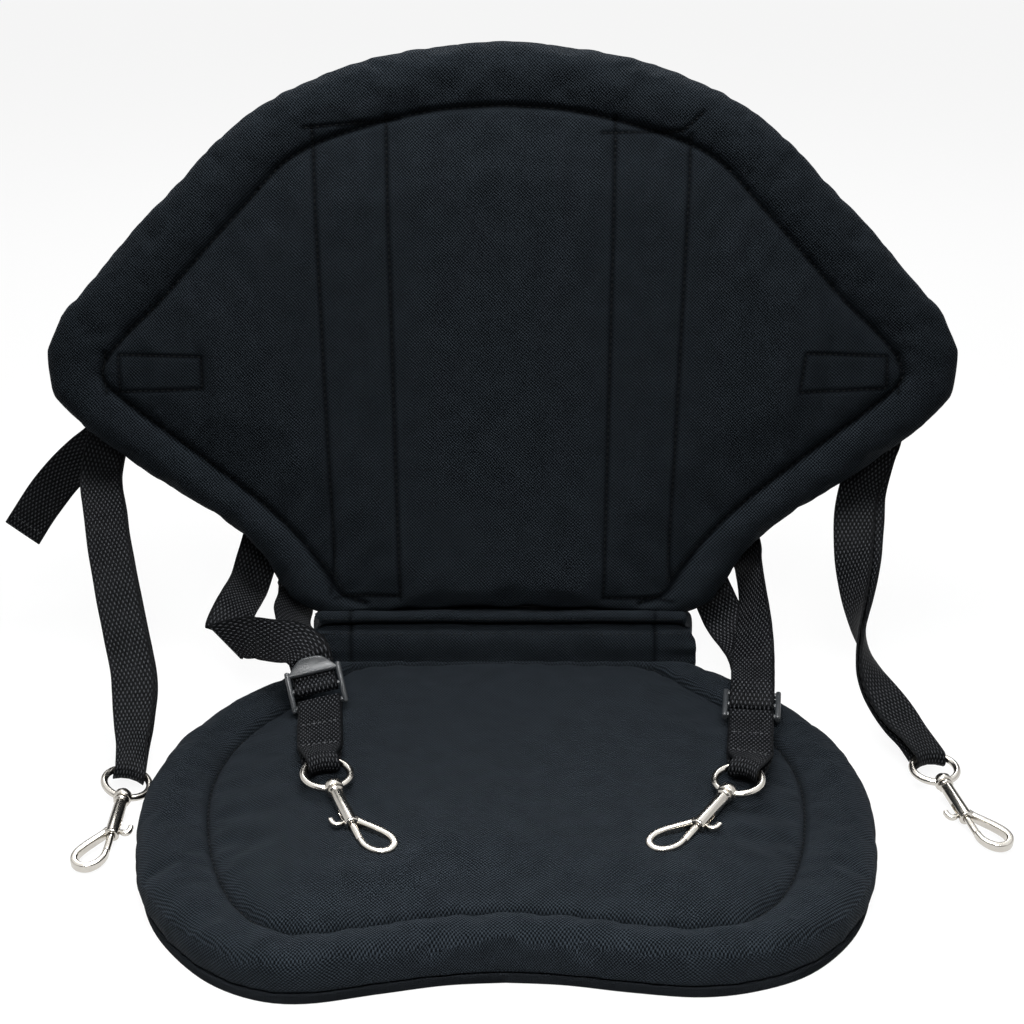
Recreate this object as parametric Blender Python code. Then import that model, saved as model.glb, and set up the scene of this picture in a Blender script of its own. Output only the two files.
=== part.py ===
"""Kayak seat with a winged backrest, a folding neck and four webbing straps on bolt snaps.

Frame: metres, +Z up, +X to the sitter's left as seen from the front, +Y towards the backrest.
The origin is the middle of the seat's flat underside. Sizes below are written in millimetres
through MM. The backrest is drawn on its own plane (u across, v up the back, w out of its front)
and on_back() leans that plane back.
"""
import bpy
import bmesh
import numpy as np
from math import cos, sin, pi, radians, sqrt
from mathutils import Matrix, Vector

MM = 0.001

# Clearances
TOUCH = 0.3 * MM            # between two pieces that are sewn, laid or fitted together

# Seat pad and its base
BASE_THICK = 5.0 * MM       # non-slip sheet under the pad
BASE_INSET = 2.5 * MM       # the sheet ends just inside the pad's widest line
SEAT_THICK = 26.0 * MM      # top of the rim above the base sheet
SEAT_GROOVE = 5.5 * MM      # how deep the seam bites below the rim
SEAT_CROWN = 2.0 * MM       # middle of the panel above the rim's top

# Backrest
RECLINE = radians(16)
HINGE_Y = 167 * MM          # the foot of the backrest's middle plane
HINGE_Z = 60 * MM
BACK_THICK = 27.0 * MM      # from the rear panel to the top of the rim
BACK_GROOVE = 6.0 * MM
BACK_CROWN = 1.0 * MM
BACK_MIDDLE_V = 140 * MM    # height of the panel's middle up the back
REAR_PANEL_THICK = 3.0 * MM
REAR_PANEL_INSET = 3.0 * MM

# Neck between the pads
NECK_HALF = 116 * MM
NECK_PINCH = 0.72           # the rolls shrink to this share at their sewn ends
NECK_SIDE = 9 * MM          # length of the pinched ends

# Stiffening battens and their pockets on the rear
BATTEN_WIDTH = 34 * MM
BATTEN_THICK = 2.8 * MM
BATTEN_LOW = 8 * MM
BATTEN_HIGH = 262 * MM
POCKET_WALL = 1.2 * MM
POCKET_HEM = 4.0 * MM       # flat edge that is sewn down on each side
POCKET_LOW = 2 * MM
POCKET_HIGH = 279 * MM
POCKET_TOP_U = 89 * MM      # middle of the pocket at its top and at its foot
POCKET_FOOT_U = 79.5 * MM

# Webbing
WEB_WIDTH = 25 * MM
WEB_THICK = 1.6 * MM
WEB_PINCHED = 17.4 * MM     # width where it is squeezed inside a snap's eye
LAYER_STEP = WEB_THICK + 0.5 * MM

# Ladder-lock buckles
BUCKLE_INSIDE = WEB_WIDTH + 1.6 * MM
BUCKLE_RAIL = 3.0 * MM
BUCKLE_THICK = 4.4 * MM
BUCKLE_PITCH = 9.5 * MM     # from bar to bar
BUCKLE_BAR = 3.4 * MM       # width of a bar, round in section
BUCKLE_TAB = 6.5 * MM       # lift tab beyond the third bar

# Bolt snaps, in their own frame: hub at the origin, axis along +X, the loop flat in XY
SNAP_WIRE = 4.0 * MM
EYE_HALF = 12.6 * MM        # to the middle of the eye's wire, sideways
EYE_LONG = 24.6 * MM        # from the hub to the middle of the far wire
HUB_RADIUS = 5.0 * MM
HUB_THICK = 4.4 * MM
STEM_RADIUS = 2.0 * MM
STEM_CLEAR = 0.35 * MM
HEAD_RADIUS = 3.6 * MM
HEAD_LONG = 2.6 * MM
COLLAR_RADIUS = 4.3 * MM
COLLAR_LONG = 2.0 * MM
BARREL_RADIUS = 3.7 * MM
BARREL_END = 33.0 * MM      # the barrel's mouth
BORE_RADIUS = 2.3 * MM
BORE_START = 7.0 * MM
LIP_RADIUS = 4.2 * MM
LIP_LONG = 1.6 * MM
BOLT_RADIUS = 1.9 * MM
BOLT_START = 20.5 * MM      # back end of the bolt, where the spring presses
BOLT_TRAVEL = 8.0 * MM
NOSE_AT = 46.0 * MM         # where the bolt's tip meets the hook's nose
SLOT_WIDTH = 2.6 * MM
KNOB_AT = 29.4 * MM         # the thumb piece leaves the slot here
KNOB_THICK = 2.0 * MM
SPRING_WIRE = 0.5 * MM
SPRING_TURNS = 5
LOOP_TALL = 5.4 * MM        # hook's section, tall across the loop's plane
LOOP_WIDE = 3.9 * MM

# Half outlines, from the neck's middle round to the far middle: the edge, then the seam beside it
SEAT_OUTLINE = [
    ((0, 146), (0, 140)), ((106, 146), (78, 140)), ((122, 142), (92, 136)), ((143, 119), (108, 115)),
    ((165, 95), (126, 91)), ((182, 66), (144, 64)), ((193, 35), (155, 37)), ((197, 0), (160, 2)),
    ((195.5, -40), (157, -38)), ((188, -80), (150, -72)), ((174, -111), (139, -101)),
    ((151, -137), (122, -123)), ((123, -151), (104, -131)), ((94, -156), (84, -132)),
    ((60, -152), (54, -127)), ((28, -146), (26, -121)), ((0, -144), (0, -119))]
BACK_OUTLINE = [
    ((0, -7), (0, -2)), ((104, -7), (82, -2)), ((117, -2), (94, 4)), ((129, 14), (105, 20)),
    ((164, 45), (138, 54)), ((206, 71), (184, 90)), ((243, 98), (222, 118)), ((265, 117), (237, 132)),
    ((272, 140), (235, 143)), ((265, 166), (220, 161)), ((249, 185), (204, 176)),
    ((212, 227), (171, 213)), ((189, 251), (149, 237)), ((166, 274), (128, 259)),
    ((136, 297), (106, 271)), ((100, 313), (79, 280)), ((50, 326), (40, 289)), ((0, 330), (0, 292))]

# Rim sections: share of the way from the edge to the seam, share of the thickness
RIM_SECTION = [(0.13, 0.0), (0.03, 0.12), (0.0, 0.40), (0.05, 0.68), (0.20, 0.90), (0.45, 1.0),
               (0.72, 0.97), (0.90, 0.86)]
# Panel section: share of the way from the seam to the middle, share of the groove filled again
PANEL_SECTION = [(0.04, 0.62), (0.12, 0.90), (0.35, 1.0), (0.68, 1.0)]
OUTLINE_STEPS = 26          # per half

# Neck rolls, from the seat's rear face over the two rolls and down the rear, as (y, z)
NECK_SECTION = [
    (147.2, 8), (147.4, 20), (147.8, 29), (148.4, 34.5), (151.2, 39.6), (155.2, 41.6), (158.0, 43.4),
    (154.8, 45.2), (152.0, 48.6), (152.6, 52.6), (157.5, 54.0), (168.0, 51.3), (180.0, 47.6),
    (184.5, 40), (183.5, 25), (176, 8), (164, 0.4), (152, 2.0)]


# Geometry helpers

def smooth(points, closed=False, per_span=10):
    """Points on a smooth curve through the given ones (Catmull-Rom, any number of coordinates)."""
    rows = np.array([np.ravel(point) for point in points], float)
    count = len(rows)
    spans = count if closed else count - 1
    out = []
    for span in range(spans):
        before, start, end, after = (
            rows[(span + step) % count] if closed else rows[min(max(span + step, 0), count - 1)]
            for step in (-1, 0, 1, 2))
        for part in np.arange(per_span) / per_span:
            out.append(0.5 * (2 * start + (end - before) * part
                              + (2 * before - 5 * start + 4 * end - after) * part ** 2
                              + (3 * start - before - 3 * end + after) * part ** 3))
    if not closed:
        out.append(rows[-1])
    return np.array(out)


def evenly(rows, steps, measure=3):
    """The same curve with steps equal spans, measured on its first coordinates."""
    legs = np.linalg.norm(np.diff(rows[:, :measure], axis=0), axis=1)
    along = np.concatenate([[0.0], np.cumsum(legs)])
    places = np.linspace(0.0, along[-1], steps + 1)
    return np.stack([np.interp(places, along, column) for column in rows.T], axis=1)


def on_seat(a, b, height):
    return Vector((a, b, height))


def on_back(u, v, w):
    """A point of the leaning backrest."""
    return Vector((u, HINGE_Y + v * sin(RECLINE) - w * cos(RECLINE),
                   HINGE_Z + v * cos(RECLINE) + w * sin(RECLINE)))


BACK_REAR = -0.5 * BACK_THICK            # w of the pad's rear face
PANEL_REAR = BACK_REAR - TOUCH - REAR_PANEL_THICK
BACK_UP = Vector((0, sin(RECLINE), cos(RECLINE)))
BACK_OUT = Vector((0, -cos(RECLINE), sin(RECLINE)))


def material(name, colour, roughness, metallic=0.0):
    made = bpy.data.materials.new(name)
    made.use_nodes = True
    shader = made.node_tree.nodes["Principled BSDF"]
    shader.inputs["Base Color"].default_value = (*colour, 1)
    shader.inputs["Roughness"].default_value = roughness
    shader.inputs["Metallic"].default_value = metallic
    return made


def add_object(name, mesh, finish, place=None, smooth_angle=40):
    mesh.materials.clear()
    mesh.materials.append(finish)
    mesh.shade_smooth()
    mesh.set_sharp_from_angle(angle=radians(smooth_angle))
    obj = bpy.data.objects.new(name, mesh)
    bpy.context.collection.objects.link(obj)
    if place is not None:
        obj.parent = place
    return obj


def mesh_from(name, points, faces):
    bm = bmesh.new()
    corners = [bm.verts.new(point) for point in points]
    for face in faces:
        bm.faces.new([corners[index] for index in face])
    bmesh.ops.recalc_face_normals(bm, faces=bm.faces)
    mesh = bpy.data.meshes.new(name)
    bm.to_mesh(mesh)
    bm.free()
    return mesh


def loft(name, rings, end_points=(None, None)):
    """A closed skin over rings of equally many points. An end is a flat face or a fan to a point."""
    size = len(rings[0])
    points = [point for ring in rings for point in ring]
    faces = []
    for level in range(len(rings) - 1):
        for side in range(size):
            low = level * size
            after = (side + 1) % size
            faces.append((low + side, low + after, low + size + after, low + size + side))
    for level, tip in ((0, end_points[0]), (len(rings) - 1, end_points[1])):
        ring = [level * size + side for side in range(size)]
        if tip is None:
            faces.append(ring)
        else:
            points.append(tip)
            faces.extend((ring[side], ring[(side + 1) % size], len(points) - 1)
                         for side in range(size))
    return mesh_from(name, points, faces)


def combine(target, cutter, operation):
    """Apply a Boolean at once and drop the second object."""
    step = target.modifiers.new(operation.lower(), "BOOLEAN")
    step.operation = operation
    step.solver = "EXACT"
    step.object = cutter
    bpy.context.view_layer.update()
    seen = target.evaluated_get(bpy.context.evaluated_depsgraph_get())
    mesh = bpy.data.meshes.new_from_object(seen)
    target.modifiers.clear()
    target.data = mesh
    bpy.data.objects.remove(cutter)
    return target


def temporary(mesh):
    obj = bpy.data.objects.new(mesh.name, mesh)
    bpy.context.collection.objects.link(obj)
    return obj


def turned(name, profile, sides=16):
    """A solid turned about +X from (x, radius) pairs, starting and ending on the axis."""
    rings = []
    for x, radius in profile[1:-1]:
        rings.append([Vector((x, radius * cos(2 * pi * side / sides), radius * sin(2 * pi * side / sides)))
                      for side in range(sides)])
    tips = (Vector((profile[0][0], 0, 0)), Vector((profile[-1][0], 0, 0)))
    return loft(name, rings, tips)


def rounded_box(name, size, bevel, segments=1):
    bm = bmesh.new()
    bmesh.ops.create_cube(bm, size=1.0, matrix=Matrix.Diagonal((*size, 1)))
    bmesh.ops.bevel(bm, geom=bm.edges[:], offset=bevel, segments=segments, profile=0.5, affect="EDGES")
    mesh = bpy.data.meshes.new(name)
    bm.to_mesh(mesh)
    bm.free()
    return mesh


# Pads

def full_outline(half):
    """Edge and seam points all the way round, as rows of edge x, y and seam x, y in metres."""
    rows = evenly(smooth([np.ravel(pair) for pair in half]), OUTLINE_STEPS, measure=2) * MM
    other = rows[-2:0:-1] * np.array([-1, 1, -1, 1])
    return np.concatenate([rows, other])


def rim_fullness(row):
    """1 where the rim is a full bolster, 0 at the neck where the panel runs out to the edge."""
    width = sqrt((row[0] - row[2]) ** 2 + (row[1] - row[3]) ** 2)
    return min(max((width - 9 * MM) / (16 * MM), 0.0), 1.0)


def pad(name, half, place, low, thick, groove, crown, middle, finish):
    """A stuffed pad: rounded sides, a raised rim, a sewn groove and a crowned middle panel."""
    outline = full_outline(half)
    top = low + thick
    rings = []
    for share, height in RIM_SECTION:
        rings.append([place(row[0] + (row[2] - row[0]) * share, row[1] + (row[3] - row[1]) * share,
                            low + thick * height) for row in outline])
    rings.append([place(row[2], row[3], top - groove * rim_fullness(row) - 0.8 * MM)
                  for row in outline])
    for share, filled in PANEL_SECTION:
        ring = []
        for row in outline:
            sunk = groove * rim_fullness(row) * (1 - filled)
            ring.append(place(row[2] + (middle[0] - row[2]) * share,
                              row[3] + (middle[1] - row[3]) * share,
                              top - sunk + crown * share))
        rings.append(ring)
    centre = place(middle[0], middle[1], top + crown)
    return add_object(name, loft(name, rings, (None, centre)), finish, smooth_angle=70)


def inset_outline(outline, inset):
    """The edge line moved inwards along its own normals."""
    edge = outline[:, :2]
    ahead = np.roll(edge, -1, axis=0) - np.roll(edge, 1, axis=0)
    ahead /= np.linalg.norm(ahead, axis=1)[:, None]
    inward = np.stack([-ahead[:, 1], ahead[:, 0]], axis=1)
    middle = edge.mean(axis=0)
    if np.sum((middle - edge) * inward) < 0:
        inward = -inward
    return edge + inward * inset


def sheet_panel(name, half, place, low, thick, inset, finish):
    """A flat cut sheet with softened edges, following the pad's outline."""
    outline = full_outline(half)
    soft = 1.2 * MM
    levels = ((soft, 0.0), (0.0, soft), (0.0, thick - soft), (soft, thick))
    rings = [[place(a, b, low + height) for a, b in inset_outline(outline, inset + extra)]
             for extra, height in levels]
    return add_object(name, loft(name, rings), finish)


def neck(finish):
    """The sewn fold between the pads: two soft rolls whose ends are pinched together."""
    section = evenly(smooth(NECK_SECTION + NECK_SECTION[:1]), 32, measure=2)[:-1] * MM
    middle = section.mean(axis=0)
    rings = []
    pinch = ((0.0, NECK_PINCH), (NECK_SIDE, 0.93), (3 * NECK_SIDE, 1.0))
    left = [(-NECK_HALF + inward, share) for inward, share in pinch]
    right = [(NECK_HALF - inward, share) for inward, share in pinch]
    for x, share in left + [(0.0, 1.0)] + right[::-1]:
        rings.append([Vector((x, middle[0] + (y - middle[0]) * share, middle[1] + (z - middle[1]) * share))
                      for y, z in section])
    return add_object("neck_fold", loft("neck_fold", rings), finish, smooth_angle=60)


# Battens and pockets

def pocket_middle(v):
    share = (v - POCKET_LOW) / (POCKET_HIGH - POCKET_LOW)
    return POCKET_FOOT_U + (POCKET_TOP_U - POCKET_FOOT_U) * share


def batten(name, side, finish):
    rings = []
    back = PANEL_REAR - TOUCH
    half = BATTEN_WIDTH / 2
    for v, share in ((BATTEN_LOW, 0.55), (BATTEN_LOW + 7 * MM, 1.0), (BATTEN_HIGH - 7 * MM, 1.0),
                     (BATTEN_HIGH, 0.55)):
        centre = side * pocket_middle(v)
        rings.append([on_back(centre + across * half * share, v, back - depth)
                      for across, depth in ((-1, 0), (1, 0), (1, BATTEN_THICK), (-1, BATTEN_THICK))])
    return add_object(name, loft(name, rings), finish)


def pocket(name, side, finish):
    """A strip of cloth sewn down both sides over the batten, open at the top."""
    inner = BATTEN_WIDTH / 2 + TOUCH
    depth = BATTEN_THICK + 2 * TOUCH
    wall = POCKET_WALL
    hem = inner + 1.5 * wall + POCKET_HEM
    section = [(-hem, 0), (-inner, 0), (-inner + wall, depth), (inner - wall, depth), (inner, 0), (hem, 0),
               (hem, wall), (inner + 1.5 * wall, wall), (inner - 0.5 * wall, depth + wall),
               (-inner + 0.5 * wall, depth + wall), (-inner - 1.5 * wall, wall), (-hem, wall)]
    section = [(a + (wall if 0 < d and abs(a) < inner else 0) * (-1 if a < 0 else 1), d) for a, d in section]
    back = PANEL_REAR - TOUCH
    rings = []
    for v in np.linspace(POCKET_LOW, POCKET_HIGH, 5):
        rings.append([on_back(side * pocket_middle(v) + a, v, back - d) for a, d in section])
    return add_object(name, loft(name, rings), finish)


# Webbing

def ribbon(name, stations, finish, thick=WEB_THICK):
    """Flat webbing through stations of (point, direction across, width, direction ahead if known).

    Both faces are split along the same diagonal, so that a twist leaves them parallel.
    """
    points = [Vector(station[0]) for station in stations]
    rings = []
    for index, (point, across, width, *known) in enumerate(stations):
        ahead = (points[min(index + 1, len(points) - 1)] - points[max(index - 1, 0)]).normalized()
        if known:
            ahead = known[0]
        across = Vector(across)
        across = (across - ahead * across.dot(ahead)).normalized()
        out = across.cross(ahead)
        half, low = across * width / 2, out * thick / 2
        centre = Vector(point)
        rings.append([centre - half - low, centre + half - low, centre + half + low, centre - half + low])
    last = 4 * (len(rings) - 1)
    faces = [(0, 1, 2, 3), (last, last + 1, last + 2, last + 3)]
    for low in range(0, last, 4):
        after = low + 4
        for a, b in ((1, 2), (3, 0)):
            faces.append((low + a, low + b, after + b, after + a))
        for a, b in ((0, 1), (3, 2)):
            faces.append((low + a, low + b, after + b))
            faces.append((low + a, after + b, after + a))
    mesh = mesh_from(name, [point for ring in rings for point in ring], faces)
    return add_object(name, mesh, finish, smooth_angle=50)


def turn_about(centre, start, radius, axis, angle, steps, across, width):
    """Stations round a bar: start is the unit direction from the bar to the first station."""
    out = []
    for step in range(steps + 1):
        spoke = Matrix.Rotation(angle * step / steps, 3, axis) @ start
        out.append((centre + spoke * radius, across, width, axis.cross(spoke).normalized()))
    return out


# Ladder-lock buckles, in their own frame: X across, Y towards the lift tab, Z out of the top face

WRAP_RADIUS_BAR = BUCKLE_BAR / 2 + TOUCH + WEB_THICK / 2


def frame_matrix(origin, along_x, up_hint):
    """World matrix with X along a direction and Z as near as possible to a hint."""
    x = Vector(along_x).normalized()
    z = Vector(up_hint)
    z = (z - x * z.dot(x)).normalized()
    y = z.cross(x)
    turn = Matrix((x, y, z)).transposed().to_4x4()
    return Matrix.Translation(Vector(origin)) @ turn


def buckle(name, matrix, finish):
    """Two side rails, three round bars and a lift tab bent up from the third bar."""
    rail_long = 2 * BUCKLE_PITCH + BUCKLE_BAR + 1.5 * MM
    rail_x = (BUCKLE_INSIDE + BUCKLE_RAIL) / 2
    frame = temporary(rounded_box(name, (BUCKLE_RAIL, rail_long, BUCKLE_THICK), 0.8 * MM))
    frame.data.transform(Matrix.Translation((-rail_x, 0, 0)))
    other = rounded_box("rail", (BUCKLE_RAIL, rail_long, BUCKLE_THICK), 0.8 * MM)
    other.transform(Matrix.Translation((rail_x, 0, 0)))
    combine(frame, temporary(other), "UNION")
    half = rail_x
    radius = BUCKLE_BAR / 2
    for y in (-BUCKLE_PITCH, 0.0, BUCKLE_PITCH):
        bar = turned("bar", [(-half, 0), (-half, radius), (half, radius), (half, 0)], sides=8)
        bar.transform(Matrix.Translation((0, y, 0)))
        combine(frame, temporary(bar), "UNION")
    tab = rounded_box("tab", (BUCKLE_INSIDE + BUCKLE_RAIL, BUCKLE_TAB, 2.0 * MM), 0.8 * MM)
    tab.transform(Matrix.Translation((0, BUCKLE_PITCH + BUCKLE_TAB / 2 - 0.4 * MM, 1.2 * MM))
                  @ Matrix.Rotation(radians(14), 4, "X"))
    combine(frame, temporary(tab), "UNION")
    mesh = frame.data
    bpy.data.objects.remove(frame)
    mesh.transform(matrix)
    return add_object(name, mesh, finish)


def round_middle_bar(matrix):
    """Stations under the middle bar, over it and back under the tab bar, in world space."""
    across = (matrix.to_3x3() @ Vector((1, 0, 0)))
    radius = WRAP_RADIUS_BAR
    low = radius + LAYER_STEP
    lead = [(BUCKLE_PITCH + 6 * MM, -low - 0.2 * MM), (BUCKLE_PITCH, -low),
            (0.45 * BUCKLE_PITCH, -low + 0.3 * MM)]
    turn = [(radius * cos(radians(a)), radius * sin(radians(a))) for a in range(-95, -341, -35)]
    leave = [(0.52 * BUCKLE_PITCH, -0.75 * radius), (0.8 * BUCKLE_PITCH, -radius),
             (BUCKLE_PITCH + 5 * MM, -radius - 0.1 * MM)]
    return [(matrix @ Vector((0, y, z)), across, WEB_WIDTH) for y, z in lead + turn + leave]


# Bolt snaps

def swept(name, path, sizes, sides=8, square=2.6):
    """A closed bar along a path in the XY plane, its section a soft rectangle (in-plane, tall)."""
    rings = []
    for index, (x, y) in enumerate(path):
        before = path[max(index - 1, 0)]
        after = path[min(index + 1, len(path) - 1)]
        ahead = Vector((after[0] - before[0], after[1] - before[1], 0)).normalized()
        side = Vector((-ahead.y, ahead.x, 0))
        wide, tall = sizes[index]
        ring = []
        for step in range(sides):
            angle = 2 * pi * (step + 0.5) / sides
            c, s = cos(angle), sin(angle)
            ring.append(Vector((x, y, 0)) + side * (wide / 2 * abs(c) ** (2 / square) * (1 if c > 0 else -1))
                        + Vector((0, 0, tall / 2 * abs(s) ** (2 / square) * (1 if s > 0 else -1))))
        rings.append(ring)
    return loft(name, rings)


HOOK_ROUTE = [(29.0, -2.4), (32.6, -4.2), (37.6, -8.0), (43.2, -12.1), (49.0, -15.2), (54.6, -15.4),
              (58.4, -12.2), (59.1, -7.6), (56.4, -3.4), (52.2, -0.9), (49.0, -0.1), (46.3, 0.0)]
KNOB_ROUTE = [(0.0, 0.6), (0.0, 3.2), (0.3, 5.0), (1.0, 6.4), (0.9, 8.0), (-1.0, 9.2), (-4.2, 9.5)]
HOOK_STEPS = 20
KNOB_STEPS = 7


def hook_loop():
    rows = evenly(smooth(HOOK_ROUTE), HOOK_STEPS, measure=2) * MM
    sizes = []
    for index in range(len(rows)):
        share = index / (len(rows) - 1)
        swell = sin(pi * min(share * 1.25, 1.0)) if share < 0.8 else 0.0
        round_nose = max(0.0, (share - 0.75) / 0.25)
        sizes.append((LOOP_WIDE - 0.3 * MM + 0.5 * MM * swell,
                      LOOP_TALL - 0.8 * MM + 0.8 * MM * swell - 0.6 * MM * round_nose))
    return swept("loop", [tuple(row) for row in rows], sizes)


def snap_body(name, finish, place):
    """Swivel head and stem, collar, bored and slotted barrel, and the hook in one casting."""
    hub_half = HUB_THICK / 2 + STEM_CLEAR
    profile = [(-hub_half - HEAD_LONG, 0), (-hub_half - HEAD_LONG, 0.45 * HEAD_RADIUS),
               (-hub_half - 0.65 * HEAD_LONG, 0.85 * HEAD_RADIUS), (-hub_half - 0.2 * HEAD_LONG, HEAD_RADIUS),
               (-hub_half, HEAD_RADIUS), (-hub_half, STEM_RADIUS), (hub_half, STEM_RADIUS),
               (hub_half, COLLAR_RADIUS), (hub_half + COLLAR_LONG, COLLAR_RADIUS),
               (hub_half + COLLAR_LONG + 0.8 * MM, BARREL_RADIUS - 0.2 * MM),
               (BARREL_END - LIP_LONG - 0.5 * MM, BARREL_RADIUS), (BARREL_END - LIP_LONG, LIP_RADIUS),
               (BARREL_END - 0.3 * MM, LIP_RADIUS), (BARREL_END, LIP_RADIUS - 0.5 * MM), (BARREL_END, 0)]
    body = temporary(turned(name, profile, sides=14))
    combine(body, temporary(hook_loop()), "UNION")
    bore = turned("bore", [(BORE_START, 0), (BORE_START, BORE_RADIUS), (BARREL_END + 6 * MM, BORE_RADIUS),
                           (BARREL_END + 6 * MM, 0)], sides=10)
    combine(body, temporary(bore), "DIFFERENCE")
    slot_start = KNOB_AT - BOLT_TRAVEL - KNOB_THICK / 2 - 0.5 * MM
    slot_end = KNOB_AT + KNOB_THICK / 2 + 0.5 * MM
    slot = rounded_box("slot", (slot_end - slot_start, 6 * MM, SLOT_WIDTH), 0.4 * MM)
    slot.transform(Matrix.Translation(((slot_start + slot_end) / 2, 4.2 * MM, 0)))
    combine(body, temporary(slot), "DIFFERENCE")
    mesh = body.data
    bpy.data.objects.remove(body)
    return add_object(name, mesh, finish, place)


def snap_eye(name, finish, place):
    """The eye that the webbing passes through, with the hub that the stem turns in."""
    rings = []
    steps = 24
    for step in range(steps):
        angle = 2 * pi * step / steps
        square = 2.3 if cos(angle) > 0 else 2.8
        c, s = cos(angle), sin(angle)
        x = EYE_LONG / 2 * (abs(c) ** (2 / square) * (1 if c > 0 else -1) - 1)
        y = EYE_HALF * abs(s) ** (2 / square) * (1 if s > 0 else -1)
        rings.append((x, y))
    path = evenly(smooth(rings, closed=True, per_span=2), steps, measure=2)
    points = []
    faces = []
    sides = 6
    for index, (x, y) in enumerate(path[:-1]):
        before = path[(index - 1) % steps]
        after = path[(index + 1) % steps]
        ahead = Vector((after[0] - before[0], after[1] - before[1], 0)).normalized()
        side = Vector((-ahead.y, ahead.x, 0))
        for turn in range(sides):
            angle = 2 * pi * (turn + 0.5) / sides
            points.append(Vector((x, y, 0)) + side * (SNAP_WIRE / 2 * cos(angle))
                          + Vector((0, 0, SNAP_WIRE / 2 * sin(angle))))
    for index in range(steps):
        for turn in range(sides):
            a, b = index * sides, (index + 1) % steps * sides
            after = (turn + 1) % sides
            faces.append((a + turn, a + after, b + after, b + turn))
    eye = temporary(mesh_from(name, points, faces))
    half = HUB_THICK / 2
    hub = turned("hub", [(-half, 0), (-half, HUB_RADIUS - 0.6 * MM), (-half + 0.6 * MM, HUB_RADIUS),
                         (half - 0.6 * MM, HUB_RADIUS), (half, HUB_RADIUS - 0.6 * MM), (half, 0)], sides=12)
    combine(eye, temporary(hub), "UNION")
    hole_radius = STEM_RADIUS + STEM_CLEAR
    hole = turned("hole", [(-half - MM, 0), (-half - MM, hole_radius), (half + MM, hole_radius),
                           (half + MM, 0)], sides=12)
    combine(eye, temporary(hole), "DIFFERENCE")
    mesh = eye.data
    bpy.data.objects.remove(eye)
    return add_object(name, mesh, finish, place)


def snap_bolt(name, finish, place):
    """The sliding bolt with the curled thumb piece that stands out through the slot."""
    tip = NOSE_AT - TOUCH
    rod = turned(name, [(BOLT_START, 0), (BOLT_START, BOLT_RADIUS), (tip - 0.4 * MM, BOLT_RADIUS),
                        (tip, BOLT_RADIUS - 0.4 * MM), (tip, 0)], sides=10)
    bolt = temporary(rod)
    rows = evenly(smooth(KNOB_ROUTE), KNOB_STEPS, measure=2) * MM
    path = [(KNOB_AT + x, y) for x, y in rows]
    sizes = []
    for x, y in path:
        outside = min(max((y - BARREL_RADIUS - 0.6 * MM) / (1.5 * MM), 0.0), 1.0)
        sizes.append((KNOB_THICK, SLOT_WIDTH - 0.7 * MM + 1.8 * MM * outside))
    combine(bolt, temporary(swept("knob", path, sizes, sides=6)), "UNION")
    mesh = bolt.data
    bpy.data.objects.remove(bolt)
    return add_object(name, mesh, finish, place)


def snap_spring(name, finish, place):
    """The coil that pushes the bolt against the hook's nose."""
    start = BORE_START + TOUCH + SPRING_WIRE / 2
    end = BOLT_START - TOUCH - SPRING_WIRE / 2
    radius = BOLT_RADIUS - 0.35 * MM
    per_turn = 6
    total = SPRING_TURNS * per_turn
    rings = []
    for step in range(total + 1):
        angle = 2 * pi * step / per_turn
        centre = Vector((start + (end - start) * step / total, radius * cos(angle), radius * sin(angle)))
        spoke = Vector((0, cos(angle), sin(angle)))
        along = Vector((1, 0, 0))
        rings.append([centre + (spoke * a + along * b) * SPRING_WIRE / 2
                      for a, b in ((1, 0), (0, 1), (-1, 0), (0, -1))])
    return add_object(name, loft(name, rings), finish, place)


class SnapPlace:
    """Where a snap lies: its hub, its nose, which side its loop is on and how its eye is rolled."""

    def __init__(self, key, hub, nose, loop_right, roll, eye_roll):
        self.key = key
        hub = Vector(hub) * MM
        nose = Vector(nose) * MM
        base = frame_matrix(hub, nose - hub, (0, 0, 1))
        turn = radians(roll) + (pi if loop_right else 0.0)
        self.matrix = base @ Matrix.Rotation(turn, 4, "X")
        self.eye_matrix = base @ Matrix.Rotation(radians(eye_roll), 4, "X")
        axes = self.eye_matrix.to_3x3()
        self.ahead = axes @ Vector((1, 0, 0))
        self.across = axes @ Vector((0, 1, 0))
        self.wire = self.eye_matrix @ Vector((-EYE_LONG, 0, 0))


EYE_SAG = 3.2 * MM          # how far the eye's far wire curves back within the webbing's width
EYE_WRAP = SNAP_WIRE / 2 + TOUCH + WEB_THICK / 2 + EYE_SAG / 2


def round_the_eye(place, ahead, across):
    """Stations round the eye's far wire for webbing arriving along a direction."""
    start = ahead.cross(across).normalized()
    centre = place.wire + place.ahead * EYE_SAG / 2
    return turn_about(centre, start, EYE_WRAP, across, pi, 6, across, WEB_PINCHED)


def doubled(centres, ahead_end, gap_from, gap_to, splay):
    """Two layers of webbing either side of a centre line: there and back."""
    count = len(centres)
    there = []
    back = []
    for index, (point, across, width) in enumerate(centres):
        before = centres[max(index - 1, 0)][0]
        after = centres[min(index + 1, count - 1)][0]
        ahead = (after - before).normalized() if index < count - 1 else ahead_end
        across = (across - ahead * across.dot(ahead)).normalized()
        out = ahead.cross(across)
        share = index / (count - 1)
        gap = gap_from + (gap_to - gap_from) * share ** 6
        at_wing = min(4 * share, 1.0) * (1 - share)
        at_snap = share * (1 - share ** 3)
        aside = across * (splay[0] * at_wing + splay[1] * at_snap) / 2
        there.append((point + out * gap / 2 - aside, across, width))
        back.append((point - out * gap / 2 + aside, across, width))
    return there, back[::-1]


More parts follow.
